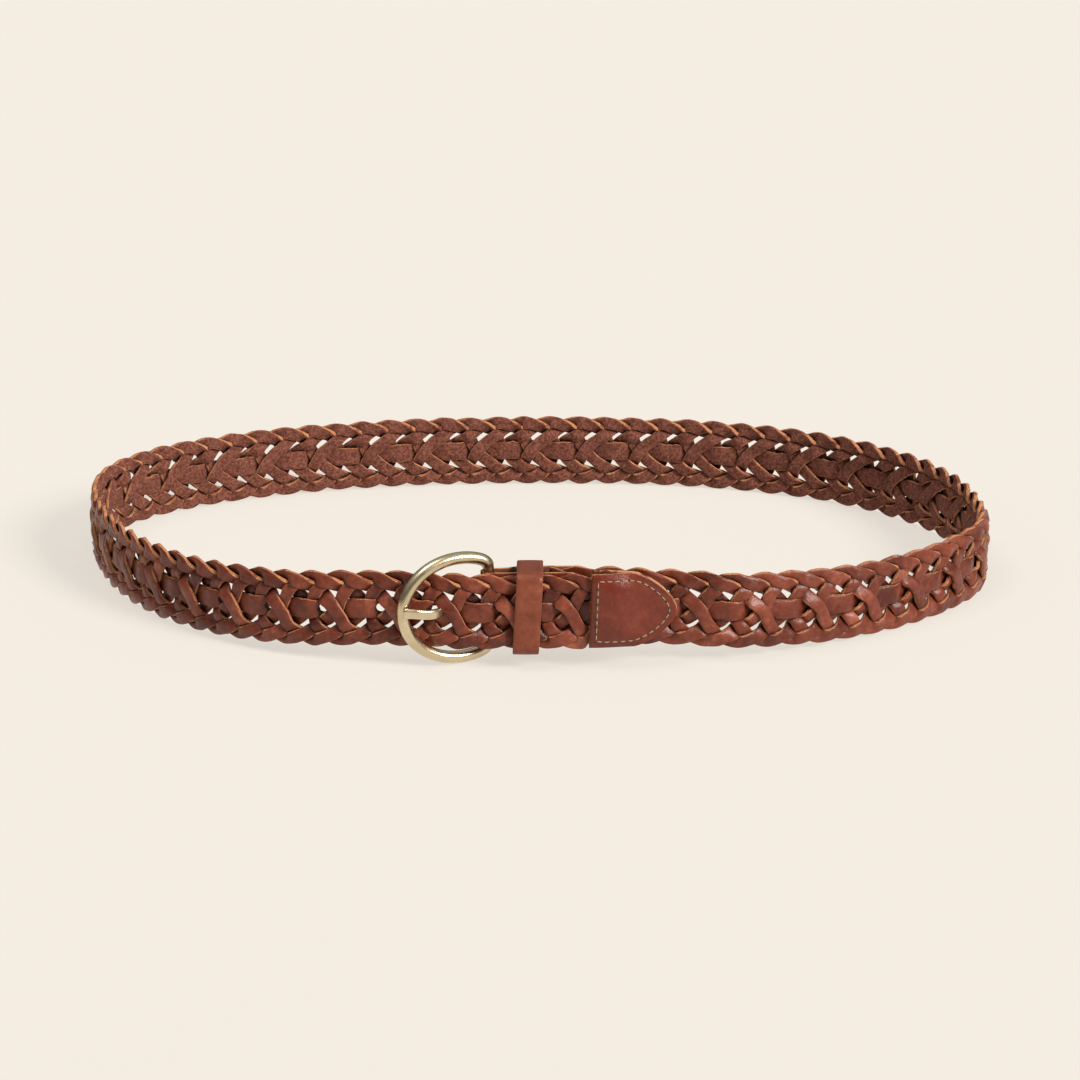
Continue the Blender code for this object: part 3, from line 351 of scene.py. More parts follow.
def run_of_cell():
    """Table from pattern length to length along the loop."""
    last_pitch = pitch_left()
    run = np.linspace(-60.0, ROUND + 60.0, 6000)
    share = (run - CROSS_RIGHT_X) / (ROUND + CROSS_LEFT_X - CROSS_RIGHT_X)
    pitch = PITCH_RIGHT + (last_pitch - PITCH_RIGHT) * np.clip(share, -0.1, 1.1)
    rate = 2.0 * CELL / pitch
    cell = np.concatenate([[0.0], np.cumsum(0.5 * (rate[1:] + rate[:-1]) * np.diff(run))])
    return cell - np.interp(CROSS_RIGHT_X, run, cell), run


CELL_TABLE, RUN_TABLE = run_of_cell()
CELL_START = float(np.interp(BRAID_START_X, RUN_TABLE, CELL_TABLE))
CELL_END = float(np.interp(ROUND + BRAID_END_X, RUN_TABLE, CELL_TABLE))
CELL_BUCKLE = float(np.interp(ROUND + CROSS_LEFT_X, RUN_TABLE, CELL_TABLE))


# ---------------------------------------------------------------- braid pattern, one period
def monotone(x, y, at):
    """Monotone cubic through points, flat at both ends."""
    x = np.asarray(x, float)
    y = np.asarray(y, float)
    gap = np.diff(x)
    slope = np.diff(y) / gap
    inner = 2.0 * slope[1:] * slope[:-1] / (slope[1:] + slope[:-1])
    grade = np.concatenate([[0.0], inner, [0.0]])
    k = np.clip(np.searchsorted(x, at, side="right") - 1, 0, len(gap) - 1)
    t = (at - x[k]) / gap[k]
    return ((1 + 2 * t) * (1 - t) ** 2 * y[k] + t * (1 - t) ** 2 * gap[k] * grade[k]
            + t * t * (3 - 2 * t) * y[k + 1] + t * t * (t - 1) * gap[k] * grade[k + 1])


def strand_way(steps):
    """In-plane run of a strand over two traverses, falling first: points and the length of the way."""
    amplitude = STRAP_HALF_WIDTH - STRAND_WIDTH / 2.0
    fine = 4000
    rel = np.linspace(WAY_U[0], WAY_U[-1], fine + 1)[:-1]
    fall = amplitude * monotone(WAY_U, WAY_V, rel)
    u = np.concatenate([rel + 3.0 * CELL * k for k in range(-2, 4)])
    v = np.concatenate([fall * (1 if k % 2 == 0 else -1) for k in range(-2, 4)])
    run = run_along(np.stack([u, v], 1))
    first = run[2 * fine]
    length = run[4 * fine] - first
    count = 2 * steps
    at = first + length * np.arange(count) / count
    pu = np.interp(at, run, u)
    pv = np.interp(at, run, v)
    drift = 6.0 * CELL * np.arange(count) / count
    pu = softened(pu - drift, length / count, PATH_SOFTNESS) + drift
    pv = softened(pv, length / count, PATH_SOFTNESS)
    pv *= amplitude / np.abs(pv).max()
    return pu, pv, length


def sides_of(u, v, wrap):
    du = np.roll(u, -1) - np.roll(u, 1)
    du[0] += wrap
    du[-1] += wrap
    dv = np.roll(v, -1) - np.roll(v, 1)
    size = np.hypot(du, dv)
    return -dv / size, du / size


def is_above(one, two):
    """+1 when layer one lies outward of layer two, -1 when inward, 0 where they don't order."""
    kind_a, centre_a = one
    kind_b, centre_b = two
    if kind_a == "C" and kind_b == "C":
        return 0
    if kind_b == "C":
        return 1 if kind_a in "MP" else -1
    if kind_a == "C":
        return -is_above(two, one)
    step = int(round((centre_b - centre_a) / CELL))
    fall_a = kind_a in "MT"
    fall_b = kind_b in "MT"
    if fall_a == fall_b:
        return {1: 1, -1: -1}.get(step, 0)
    if not fall_a:
        return -is_above(two, one)
    if step == 0:
        return 1 if kind_a == "M" else -1
    return {-2: 1, -1: -1, 1: 1, 2: -1}.get(step, 0)


class Cell:
    """Heights of the strands and the strap over one braid period, relaxed until they only touch."""

    def __init__(self):
        self.steps = SOLVE_STEPS
        self.columns = np.array([1.0, 0.0, -1.0])
        self.u, self.v, self.length = strand_way(self.steps)
        self.side_u, self.side_v = sides_of(self.u, self.v, 6.0 * CELL)
        self.strap_u = np.arange(SECTION_STEPS) * 2.0 * CELL / SECTION_STEPS
        self.strap_c = np.array([1.0, 0.5, 0.0, -0.5, -1.0])
        self.count_a = 2 * self.steps * 3
        self.total = 2 * self.count_a + SECTION_STEPS * len(self.strap_c)
        self.samples = self.sample_points()
        self.layers = [[] for _ in self.samples]
        self.collect()
        self.solve()

    def sample_points(self):
        v = np.arange(-STRAP_HALF_WIDTH + 0.3, STRAP_HALF_WIDTH, 0.95)
        return np.stack(np.meshgrid(self.strap_u, v, indexing="ij"), -1).reshape(-1, 2)

    def cover(self, grid, shift, base, wrap, columns, kind_of):
        """Notes every sample point that a ribbon's triangles lie over."""
        rows = len(grid)
        points = self.samples
        for i in range(rows):
            a = grid[i]
            b = grid[i + 1] if i + 1 < rows else grid[0] + np.array([wrap, 0.0])
            low = min(a[:, 0].min(), b[:, 0].min()) + shift
            high = max(a[:, 0].max(), b[:, 0].max()) + shift
            if high < 0.0 or low > 2.0 * CELL:
                continue
            near = np.where((points[:, 0] >= low) & (points[:, 0] <= high))[0]
            for j in range(len(columns) - 1):
                quad = np.array([a[j], a[j + 1], b[j + 1], b[j]]) + np.array([shift, 0.0])
                spots = ((i, j), (i, j + 1), (i + 1, j + 1), (i + 1, j))
                for tri in ((0, 1, 2), (0, 2, 3)):
                    self.cover_triangle(quad[list(tri)], [spots[t] for t in tri], near, rows,
                                        base, columns, kind_of(i), shift)

    def cover_triangle(self, tri, spots, near, rows, base, columns, owner, shift):
        (x0, y0), (x1, y1), (x2, y2) = tri
        det = (y1 - y2) * (x0 - x2) + (x2 - x1) * (y0 - y2)
        if abs(det) < 1e-12:
            return
        p = self.samples[near]
        a = ((y1 - y2) * (p[:, 0] - x2) + (x2 - x1) * (p[:, 1] - y2)) / det
        b = ((y2 - y0) * (p[:, 0] - x2) + (x0 - x2) * (p[:, 1] - y2)) / det
        c = 1.0 - a - b
        for k in np.where((a >= -1e-9) & (b >= -1e-9) & (c >= -1e-9))[0]:
            shares = (a[k], b[k], c[k])
            index = [base + (r % rows) * len(columns) + q for r, q in spots]
            across = sum(s * columns[q] for s, (r, q) in zip(shares, spots))
            kind, centre = owner
            self.layers[near[k]].append(((kind, centre + shift), index, shares, abs(across)))

    def collect(self):
        """Lists the layers over every sample point, each with its traverse's kind and centre."""
        half = STRAND_WIDTH / 2.0
        c = self.columns[None, :]
        grid = np.stack([self.u[:, None] + self.side_u[:, None] * c * half,
                         self.v[:, None] + self.side_v[:, None] * c * half], -1)
        for k in range(-5, 5):
            for shift, base, falling, rising in ((0.0, 0, "M", "Q"), (CELL, self.count_a, "T", "P")):
                self.cover(grid, 2.0 * CELL * k + shift, base, 6.0 * CELL, self.columns,
                           lambda i: (falling, 0.0) if i < self.steps else (rising, 3.0 * CELL))
        strap = np.stack(np.broadcast_arrays(self.strap_u[:, None],
                                             self.strap_c[None, :] * CENTRE_WIDTH / 2.0), -1)
        for k in (-1, 0, 1):
            self.cover(strap, 2.0 * CELL * k, 2 * self.count_a, 2.0 * CELL, self.strap_c,
                       lambda i: ("C", 0.0))

    def rows(self):
        """One row and one least gap for each pair of layers that cross at a sample point."""
        rows = []
        need = []
        for found in self.layers:
            for i in range(len(found)):
                for j in range(i + 1, len(found)):
                    upper, lower = found[i], found[j]
                    order = is_above(upper[0], lower[0])
                    if order == 0:
                        continue
                    if order < 0:
                        upper, lower = lower, upper
                    row = np.zeros(self.total)
                    for index, share in zip(upper[1], upper[2]):
                        row[index] += share
                    for index, share in zip(lower[1], lower[2]):
                        row[index] -= share
                    rows.append(row)
                    need.append(self.thick(upper[3]) + self.thick(lower[3]))
        return np.array(rows), np.array(need)

    def thick(self, across):
        """Half thickness: the cut edges give way where they press on each other."""
        pressed = max(0.0, (across - EDGE_GIVE_FROM) / (1.0 - EDGE_GIVE_FROM))
        return STACK_THICK / 2.0 * (1.0 - EDGE_GIVE * pressed ** 2)

    def bending(self, rows, columns, base, step, width):
        """Terms whose squares are the cost of a ribbon's shape."""
        out = []

        def at(i, j):
            return base + (i % rows) * columns + j
        slope = math.sqrt(SLOPE_FIRM / columns) / step
        bend = math.sqrt(BEND_FIRM / columns) / step ** 2
        cross = math.sqrt(CROSS_FIRM[columns] / columns) / (width / (columns - 1)) ** 2
        for i in range(rows):
            for j in range(columns):
                out.append({at(i, j): slope, at(i + 1, j): -slope})
                out.append({at(i - 1, j): bend, at(i, j): -2 * bend, at(i + 1, j): bend})
                if 0 < j < columns - 1:
                    out.append({at(i, j - 1): cross, at(i, j): -2 * cross, at(i, j + 1): cross})
        return out

    def solve(self):
        """Least cost of shape with every crossing at least its gap apart."""
        rows, need = self.rows()
        step = self.length / (2 * self.steps)
        terms = self.bending(2 * self.steps, 3, 0, step, STRAND_WIDTH)
        terms += self.bending(2 * self.steps, 3, self.count_a, step, STRAND_WIDTH)
        terms += self.bending(SECTION_STEPS, len(self.strap_c), 2 * self.count_a,
                              2.0 * CELL / SECTION_STEPS, CENTRE_WIDTH)
        cost = np.zeros((len(terms), self.total))
        for k, term in enumerate(terms):
            for index, value in term.items():
                cost[k, index] += value
        inverse = np.linalg.inv(cost.T @ cost + DAMPING * np.eye(self.total))
        spread = rows @ inverse
        stiff = np.einsum("ij,ij->i", spread, rows)
        push = np.zeros(len(rows))
        height = np.zeros(self.total)
        used = [np.nonzero(r)[0] for r in rows]
        value = [r[k] for r, k in zip(rows, used)]
        for sweep in range(SWEEPS):
            worst = 0.0
            for i in range(len(rows)):
                short = need[i] - value[i] @ height[used[i]]
                change = max(-push[i], short / stiff[i])
                if change != 0.0:
                    push[i] += change
                    height += spread[i] * change
                    worst = max(worst, short)
            if worst < TOUCHING:
                break
        print("braid relaxed: sweeps", sweep, "worst", round(worst, 3), "highest",
              round(float(np.abs(height).max()), 2))
        n = self.count_a
        self.heights = {"MQ": height[:n].reshape(-1, 3), "TP": height[n:2 * n].reshape(-1, 3),
                        "C": height[2 * n:].reshape(-1, 5)}


def periodic(values, count):
    """Smooth resampling of periodic samples, by padding their spectrum."""
    values = np.asarray(values, float)
    old = len(values)
    spectrum = np.fft.rfft(values, axis=0)
    size = count // 2 + 1
    out = np.zeros((size,) + spectrum.shape[1:], complex)
    keep = min(size, len(spectrum))
    out[:keep] = spectrum[:keep]
    return np.fft.irfft(out, count, axis=0) * count / old


# ring round a strand's section: across, thickness share, and side: 1 grain, 0 cut edge, -1 flesh
RING = ((-0.86, 0.93, 1.0), (-0.45, 1.04, 1.0), (0.0, 1.08, 1.0), (0.45, 1.04, 1.0), (0.86, 0.93, 1.0),
        (0.975, 0.66, 0.24), (1.0, 0.2, 0.0), (0.995, -0.7, -0.05), (0.93, -0.98, -0.6),
        (0.5, -1.0, -1.0), (0.0, -1.0, -1.0), (-0.5, -1.0, -1.0), (-0.93, -0.98, -0.6),
        (-0.995, -0.7, -0.05), (-1.0, 0.2, 0.0), (-0.975, 0.66, 0.24))


def pattern_surface(u, v, side_u, side_v, heights, columns, width, thick, c):
    """Ring points of a ribbon in pattern coordinates (along, up, outward)."""
    order = np.argsort(columns)
    low_first = np.asarray(columns)[order]
    heights = heights[:, order]
    half = width / 2.0
    h = np.empty_like(c)
    rise = np.empty_like(c)
    for j in range(c.shape[1]):
        h[:, j], rise[:, j] = section_height(low_first, heights, np.clip(c[:, j], -1.0, 1.0))
    pu = u[:, None] + side_u[:, None] * c * half
    pv = v[:, None] + side_v[:, None] * c * half
    surface = np.stack([pu, pv, h], -1)
    along = np.gradient(surface, axis=0)
    over = np.stack([np.broadcast_to(side_u[:, None] * half, h.shape),
                     np.broadcast_to(side_v[:, None] * half, h.shape), rise], -1)
    normal = unit(np.cross(along, over))
    return surface + normal * (np.array(RING)[None, :, 1, None] * thick / 2.0)


def ribbon(u, v, side_u, side_v, heights, columns, width, thick, seed):
    """Grid of world points (sections, ring) of a ribbon in pattern coordinates, with frayed edges."""
    rng = np.random.default_rng(seed)
    count = len(u)
    right, left = (smooth_noise(rng, count, 1.1)[:, None] * FRAY for _ in range(2))
    c = np.tile(np.array(RING)[None, :, 0], (count, 1))
    c = c + np.where(c > 0.9, right, 0.0) + np.where(c < -0.9, left, 0.0)
    surface = pattern_surface(u, v, side_u, side_v, heights, columns, width, thick, c)
    run = np.interp(surface[..., 0], CELL_TABLE, RUN_TABLE)
    return place(run, gathered(run, surface[..., 1]), surface[..., 2] * squeeze(run)), run


def gathered(run, v):
    """The keeper holds the braid together, and its end is drawn into the tip."""
    late = run - ROUND
    held = 1.0 - KEEPER_HOLD * np.exp(-((late - KEEPER_X) / KEEPER_HOLD_REACH) ** 2)
    drawn = smooth_step((late - TIP_START_X + DRAWN_LEAD) / DRAWN_RAMP)
    return v * held * (1.0 - DRAWN * drawn) + TIP_RAISE * drawn


def squeeze(run):
    """Share of its full height that the braid keeps: sewn ends and the keeper press it flat."""
    late = run - ROUND
    tail = smooth_step((late - PRESSED_TAIL_X) / PRESSED_TAIL_RAMP)
    start = 1.0 - smooth_step((run - PRESSED_START_X) / PRESSED_START_RAMP)
    return 1.0 - PRESSED * np.where(run < ROUND / 2.0, start, tail)


def section_height(columns, heights, c):
    """Height and its slope over c, by a parabola or quartic through the section's columns."""
    powers = np.vander(columns, len(columns), increasing=True)
    coeff = np.linalg.solve(powers, heights.T)
    value = np.zeros(len(c))
    slope = np.zeros(len(c))
    for k in range(len(columns)):
        value += coeff[k] * c ** k
        if k:
            slope += k * coeff[k] * c ** (k - 1)
    return value, slope


def smooth_noise(rng, count, sigma):
    raw = rng.standard_normal(count + 24)
    reach = np.arange(-12, 13)
    kernel = np.exp(-0.5 * (reach / sigma) ** 2)
    kernel /= math.sqrt((kernel ** 2).sum())
    return np.convolve(raw, kernel, mode="same")[12:12 + count]


# ---------------------------------------------------------------- mesh helpers
def new_object(name, points, faces, mats):
    mesh = bpy.data.meshes.new(name)
    mesh.from_pydata(np.asarray(points).tolist(), [], [tuple(f) for f in faces])
    for mat in mats:
        mesh.materials.append(mat)
    work = bmesh.new()
    work.from_mesh(mesh)
    bmesh.ops.recalc_face_normals(work, faces=work.faces)
    work.to_mesh(mesh)
    work.free()
    for face in mesh.polygons:
        face.use_smooth = True
    obj = bpy.data.objects.new(name, mesh)
    bpy.context.scene.collection.objects.link(obj)
    return obj


def grid_faces(rows, sides, closed=False):
    faces = []
    for i in range(rows if closed else rows - 1):
        a = i * sides
        b = ((i + 1) % rows) * sides
        for k in range(sides):
            n = (k + 1) % sides
            faces.append((a + k, a + n, b + n, b + k))
    if not closed:
        faces.append(tuple(range(sides)))
        faces.append(tuple(range((rows - 1) * sides, rows * sides))[::-1])
    return faces


def shifted(faces, base):
    return [tuple(base + i for i in face) for face in faces]


def skin(name, rings, mats, closed=False):
    """Object from a grid of world points: sections along it, points round each."""
    return new_object(name, rings.reshape(-1, 3), grid_faces(*rings.shape[:2], closed), mats)


def paint(obj, name, values):
    layer = obj.data.attributes.new(name, "FLOAT", "POINT")
    layer.data.foreach_set("value", np.asarray(values, np.float32).ravel())


# ---------------------------------------------------------------- materials
class Nodes:
    """Short hand for a material's node tree."""

    def __init__(self, name):
        self.mat = bpy.data.materials.new(name)
        self.mat.use_nodes = True
        self.tree = self.mat.node_tree
        self.shader = self.tree.nodes["Principled BSDF"]

    def add(self, kind, **values):
        node = self.tree.nodes.new(kind)
        for key, value in values.items():
            setattr(node, key, value)
        return node

    def link(self, out, into):
        self.tree.links.new(out, into)

    def coords(self):
        return self.add("ShaderNodeTexCoord").outputs["Object"]

    def noise(self, where, scale, detail=3.0, rough=0.55):
        node = self.add("ShaderNodeTexNoise")
        node.inputs["Scale"].default_value = scale
        node.inputs["Detail"].default_value = detail
        node.inputs["Roughness"].default_value = rough
        self.link(where, node.inputs["Vector"])
        return node.outputs["Fac"]

    def voronoi(self, where, scale):
        node = self.add("ShaderNodeTexVoronoi", feature="F1")
        node.inputs["Scale"].default_value = scale
        self.link(where, node.inputs["Vector"])
        return node.outputs["Distance"]

    def ramp(self, value, low, high, out_low=0.0, out_high=1.0):
        node = self.add("ShaderNodeMapRange", interpolation_type="SMOOTHSTEP")
        node.inputs["From Min"].default_value = low
        node.inputs["From Max"].default_value = high
        node.inputs["To Min"].default_value = out_low
        node.inputs["To Max"].default_value = out_high
        self.link(value, node.inputs["Value"])
        return node.outputs["Result"]

    def feed(self, socket, value):
        """Sets a number or a colour, or links an output."""
        if isinstance(value, tuple):
            socket.default_value = (*value, 1.0)
        elif isinstance(value, (int, float)):
            socket.default_value = value
        else:
            self.link(value, socket)

    def math(self, kind, one, two):
        node = self.add("ShaderNodeMath", operation=kind)
        self.feed(node.inputs[0], one)
        self.feed(node.inputs[1], two)
        return node.outputs[0]

    def mix(self, share, one, two, kind="RGBA"):
        """Mixes two colours, or two numbers when the kind is FLOAT."""
        node = self.add("ShaderNodeMix", data_type=kind)
        first, out = (6, 2) if kind == "RGBA" else (2, 0)
        for key, value in ((0, share), (first, one), (first + 1, two)):
            self.feed(node.inputs[key], value)
        return node.outputs[out]

    def blend(self, share, one, two):
        return self.mix(share, one, two, "FLOAT")

    def attribute(self, name):
        return self.add("ShaderNodeAttribute", attribute_name=name).outputs["Fac"]

    def bump(self, height, strength, distance):
        node = self.add("ShaderNodeBump")
        node.inputs["Strength"].default_value = strength
        node.inputs["Distance"].default_value = distance
        self.link(height, node.inputs["Height"])
        self.link(node.outputs["Normal"], self.shader.inputs["Normal"])


# painted shade: near-black colour that the braid's crevices are darkened towards
PAINTED_CREVICE_SHADE = (0.004, 0.001, 0.0005)


def leather(name, clouds, tones, edges, fleshes, rough, shine, painted_shade=False):
    """Grain on the outside, ragged pale cut edges, matte mottled flesh side inside, and with painted_shade
    the crevices darkened by painted shade.
    """
    deep, mid, light = tones
    n = Nodes(name)
    where = n.coords()
    side = n.attribute("side")
    tone = n.attribute("tone")
    ragged = n.noise(where, 1400.0, 2.0)
    jitter = n.math("MULTIPLY", n.math("SUBTRACT", ragged, 0.5), 0.5)
    worn = n.math("ADD", side, jitter)
    grain_mask = n.ramp(worn, 0.22, 0.36)
    flesh_mask = n.ramp(n.math("ADD", side, n.math("MULTIPLY", jitter, 0.5)), -0.35, -0.6)
    cloud = n.noise(where, 60.0, 3.0)
    streak = n.noise(where, 420.0, 4.0, 0.6)
    level = n.math("ADD", n.math("MULTIPLY", cloud, clouds), n.math("MULTIPLY", streak, 0.45))
    level = n.math("ADD", level, 0.5 * (0.55 - clouds))
    level = n.math("ADD", level, n.math("MULTIPLY", tone, 0.5))
    grain = n.mix(n.ramp(level, 0.3, 0.62), deep, mid)
    grain = n.mix(n.ramp(level, 0.55, 0.85), grain, light)
    fibre = n.noise(where, 2600.0, 3.0, 0.7)
    edge = n.mix(n.ramp(fibre, 0.35, 0.65), *edges)
    stained = n.noise(where, 170.0, 3.0, 0.6)
    edge = n.mix(n.ramp(stained, 0.50, 0.66), edge, mid)
    fuzz = n.noise(where, 900.0, 5.0, 0.75)
    patch = n.noise(where, 130.0, 2.0)
    flesh = n.mix(n.ramp(fuzz, 0.35, 0.68), *fleshes)
    flesh = n.mix(n.ramp(patch, 0.45, 0.7, 0.0, 0.35), flesh, fleshes[0])
    colour = n.mix(grain_mask, edge, grain)
    colour = n.mix(flesh_mask, colour, flesh)
    if painted_shade:
        # painted shade: points with little open sky are darkened towards near-black
        sky = n.attribute("shade")
        colour = n.mix(n.ramp(sky, 0.12, 0.78), n.mix(0.93, colour, PAINTED_CREVICE_SHADE), colour)
    n.link(colour, n.shader.inputs["Base Color"])
    pores = n.voronoi(where, 2300.0)
    wrinkle = n.noise(where, 700.0, 4.0, 0.6)
    grain_rough = n.math("ADD", rough - 0.07, n.math("MULTIPLY", wrinkle, 0.14))
    raw = n.blend(grain_mask, 0.92, grain_rough)
    n.link(n.blend(flesh_mask, raw, 0.95), n.shader.inputs["Roughness"])
    surface = n.math("ADD", n.math("MULTIPLY", pores, 0.35), wrinkle)
    coarse = n.math("MULTIPLY", n.math("ADD", fuzz, fibre), 1.6)
    height = n.blend(grain_mask, coarse, surface)
    height = n.blend(flesh_mask, height, coarse)
    n.bump(height, 0.55, 0.00022)
    n.shader.inputs["Specular IOR Level"].default_value = shine
    return n.mat


def brass(name):
    n = Nodes(name)
    where = n.coords()
    cloud = n.noise(where, 90.0, 4.0, 0.6)
    fine = n.noise(where, 2600.0, 2.0)
    tarnish = n.noise(where, 340.0, 5.0, 0.7)
    colour = n.mix(n.ramp(cloud, 0.3, 0.7), (0.60, 0.49, 0.31), (0.72, 0.615, 0.42))
    colour = n.mix(n.ramp(tarnish, 0.55, 0.8, 0.0, 0.25), colour, (0.36, 0.26, 0.14))
    n.link(colour, n.shader.inputs["Base Color"])
    n.link(n.ramp(tarnish, 0.3, 0.75, 0.24, 0.32), n.shader.inputs["Roughness"])
    n.bump(n.math("ADD", fine, tarnish), 0.025, 0.0001)
    n.shader.inputs["Metallic"].default_value = 1.0
    return n.mat


def thread_material(name):
    n = Nodes(name)
    where = n.coords()
    twist = n.add("ShaderNodeTexWave", wave_type="BANDS", bands_direction="DIAGONAL")
    twist.inputs["Scale"].default_value = 900.0
    twist.inputs["Distortion"].default_value = 1.5
    n.link(where, twist.inputs["Vector"])
    lint = n.noise(where, 3000.0, 2.0)
    colour = n.mix(twist.outputs["Fac"], (0.27, 0.125, 0.06), (0.50, 0.29, 0.155))
    colour = n.mix(n.ramp(lint, 0.4, 0.8, 0.0, 0.4), colour, (0.25, 0.13, 0.07))
    n.link(colour, n.shader.inputs["Base Color"])
    n.link(n.ramp(lint, 0.3, 0.7, 0.6, 0.85), n.shader.inputs["Roughness"])
    n.bump(twist.outputs["Fac"], 0.5, 0.00015)
    n.shader.inputs["Sheen Weight"].default_value = 0.2
    return n.mat


# painted shade: near-black colour for the walls of punched holes and for the needle-hole lenses
def painted_hole_shade_material(name):
    n = Nodes(name)
    where = n.coords()
    fuzz = n.noise(where, 1800.0, 4.0, 0.7)
    colour = n.mix(n.ramp(fuzz, 0.35, 0.7), (0.030, 0.016, 0.009), (0.09, 0.05, 0.025))
    n.link(colour, n.shader.inputs["Base Color"])
    n.link(n.ramp(fuzz, 0.3, 0.7, 0.8, 0.95), n.shader.inputs["Roughness"])
    n.bump(fuzz, 0.5, 0.0002)
    return n.mat


def floor_material(name):
    n = Nodes(name)
    where = n.coords()
    cloud = n.noise(where, 3.0, 2.0)
    colour = n.mix(n.ramp(cloud, 0.3, 0.7), (0.201, 0.190, 0.176), (0.205, 0.194, 0.179))
    n.link(colour, n.shader.inputs["Base Color"])
    n.shader.inputs["Emission Color"].default_value = (0.913, 0.847, 0.760, 1.0)
    n.shader.inputs["Emission Strength"].default_value = 0.70
    n.shader.inputs["Roughness"].default_value = 0.95
    n.shader.inputs["Specular IOR Level"].default_value = 0.1
    return n.mat


# grain deep, middle and light; cut edge dark and light; flesh dark and light; roughness; gloss
GRAIN = leather("braid_leather", 0.55, ((0.070, 0.012, 0.005), (0.180, 0.038, 0.018), (0.37, 0.112, 0.058)),
                ((0.30, 0.10, 0.042), (0.55, 0.25, 0.11)), ((0.070, 0.018, 0.010), (0.260, 0.088, 0.056)),
                0.35, 0.33, painted_shade=True)
SEWN = leather("sewn_leather", 0.25, ((0.075, 0.009, 0.003), (0.130, 0.018, 0.007), (0.21, 0.040, 0.017)),
               ((0.36, 0.14, 0.06), (0.62, 0.32, 0.15)), ((0.09, 0.028, 0.015), (0.18, 0.065, 0.04)),
               0.27, 0.42)
BAND = leather("keeper_leather", 0.40, ((0.12, 0.024, 0.009), (0.195, 0.046, 0.020), (0.30, 0.090, 0.044)),
               ((0.38, 0.16, 0.07), (0.60, 0.30, 0.14)), ((0.09, 0.028, 0.016), (0.18, 0.065, 0.04)),
               0.36, 0.34)
BRASS = brass("buckle_brass")
THREAD = thread_material("sewing_thread")
PAINTED_HOLE_SHADE = painted_hole_shade_material("hole_wall_painted_shade")


# ---------------------------------------------------------------- braid
CELLS = Cell()


def strand_rows(kinds):
    """One period of a strand: along, up, sides and heights, finely resampled."""
    count = 2 * DRAW_STEPS

    def drift(many):
        return 6.0 * CELL * np.arange(many) / many
    u = periodic(CELLS.u - drift(len(CELLS.u)), count) + drift(count)
    v = periodic(CELLS.v, count)
    return (u, v, *sides_of(u, v, 6.0 * CELL), periodic(CELLS.heights[kinds], count))


def strap_rows():
    u = np.arange(STRAP_STEPS) * 2.0 * CELL / STRAP_STEPS
    zero = np.zeros(STRAP_STEPS)
    return u, zero, zero, zero + 1.0, periodic(CELLS.heights["C"], STRAP_STEPS)


def wrapped(surface, wrap):
    """A period's grid with its first section repeated at the far end."""
    last = surface[:1] + np.array([wrap, 0.0, 0.0])
    return np.concatenate([surface, last])


def open_sky():
    """Share of open sky over every ring point of the repeating braid, from rays cast over a flat length, for
    the painted crevice shade.
    """
    grids = {}
    for key, rows, columns, width, thick in (
            ("MQ", strand_rows("MQ"), CELLS.columns, STRAND_WIDTH, STRAND_THICK),
            ("TP", strand_rows("TP"), CELLS.columns, STRAND_WIDTH, STRAND_THICK),
            ("C", strap_rows(), CELLS.strap_c, CENTRE_WIDTH, CENTRE_THICK)):
        c = np.tile(np.array(RING)[None, :, 0], (len(rows[0]), 1))
        grids[key] = pattern_surface(*rows, columns, width, thick, c)

    def moved(key, cells):
        return grids[key] + np.array([CELL * cells, 0.0, 0.0])
    copies = []
    for k in range(-5, 4):
        copies.append(wrapped(moved("MQ", 2.0 * k), 6.0 * CELL))
        copies.append(wrapped(moved("TP", 2.0 * k + 1.0), 6.0 * CELL))
    for k in range(-4, 6):
        copies.append(wrapped(moved("C", 2.0 * k), 2.0 * CELL))
    verts = []
    faces = []
    for grid in copies:
        faces += shifted(grid_faces(*grid.shape[:2])[:-2], len(verts))
        verts += grid.reshape(-1, 3).tolist()
    tree = BVHTree.FromPolygons(verts, faces)
    return {key: sky_over(tree, moved(key, cells), wrap * CELL)
            for key, cells, wrap in (("MQ", 0.0, 6.0), ("TP", 1.0, 6.0), ("C", 0.0, 2.0))}


def sky_over(tree, grid, wrap):
    """Share of rays round each point's normal that leave, near hits counted by their distance."""
    before = grid[-1:] - np.array([wrap, 0.0, 0.0])
    after = grid[:1] + np.array([wrap, 0.0, 0.0])
    padded = np.concatenate([before, grid, after])
    along = padded[2:] - padded[:-2]
    round_ring = np.roll(grid, -1, 1) - np.roll(grid, 1, 1)
    normal = np.cross(along, round_ring)
    away = grid - grid.mean(axis=1, keepdims=True)
    normal = unit(normal * np.sign((normal * away).sum(-1, keepdims=True)))
    k = np.arange(SKY_RAYS)
    up = np.sqrt(1.0 - (k + 0.5) / SKY_RAYS)
    turn = k * math.pi * (3.0 - math.sqrt(5.0))
    flat = np.sqrt(1.0 - up ** 2)[:, None]
    turned, turned_on = np.cos(turn)[:, None], np.sin(turn)[:, None]
    share = np.zeros(grid.shape[:2])
    for i in range(grid.shape[0]):
        for j in range(grid.shape[1]):
            n = normal[i, j]
            side = np.cross(n, (0.0, 0.0, 1.0) if abs(n[2]) < 0.8 else (1.0, 0.0, 0.0))
            side /= np.linalg.norm(side)
            other = np.cross(n, side)
            rays = up[:, None] * n + flat * (turned * side + turned_on * other)
            start = Vector(grid[i, j] + n * SKY_START)
            seen = 0.0
            for ray in rays:
                gap = tree.ray_cast(start, Vector(ray), SKY_REACH)[3]
                seen += 1.0 if gap is None else gap / SKY_REACH
            share[i, j] = seen / SKY_RAYS
    return share


def tone_along(run, seed):
    """Slow change of tone along the belt, in millimetres, a little different in each strand."""
    rng = np.random.default_rng(seed)
    total = 0.0
    for wave in (310.0, 140.0, 61.0, 29.0):
        total = total + 0.25 * np.sin(run * 2.0 * math.pi / wave + rng.uniform(0.0, 6.28))
    return total * 0.25 + rng.uniform(-0.12, 0.12)


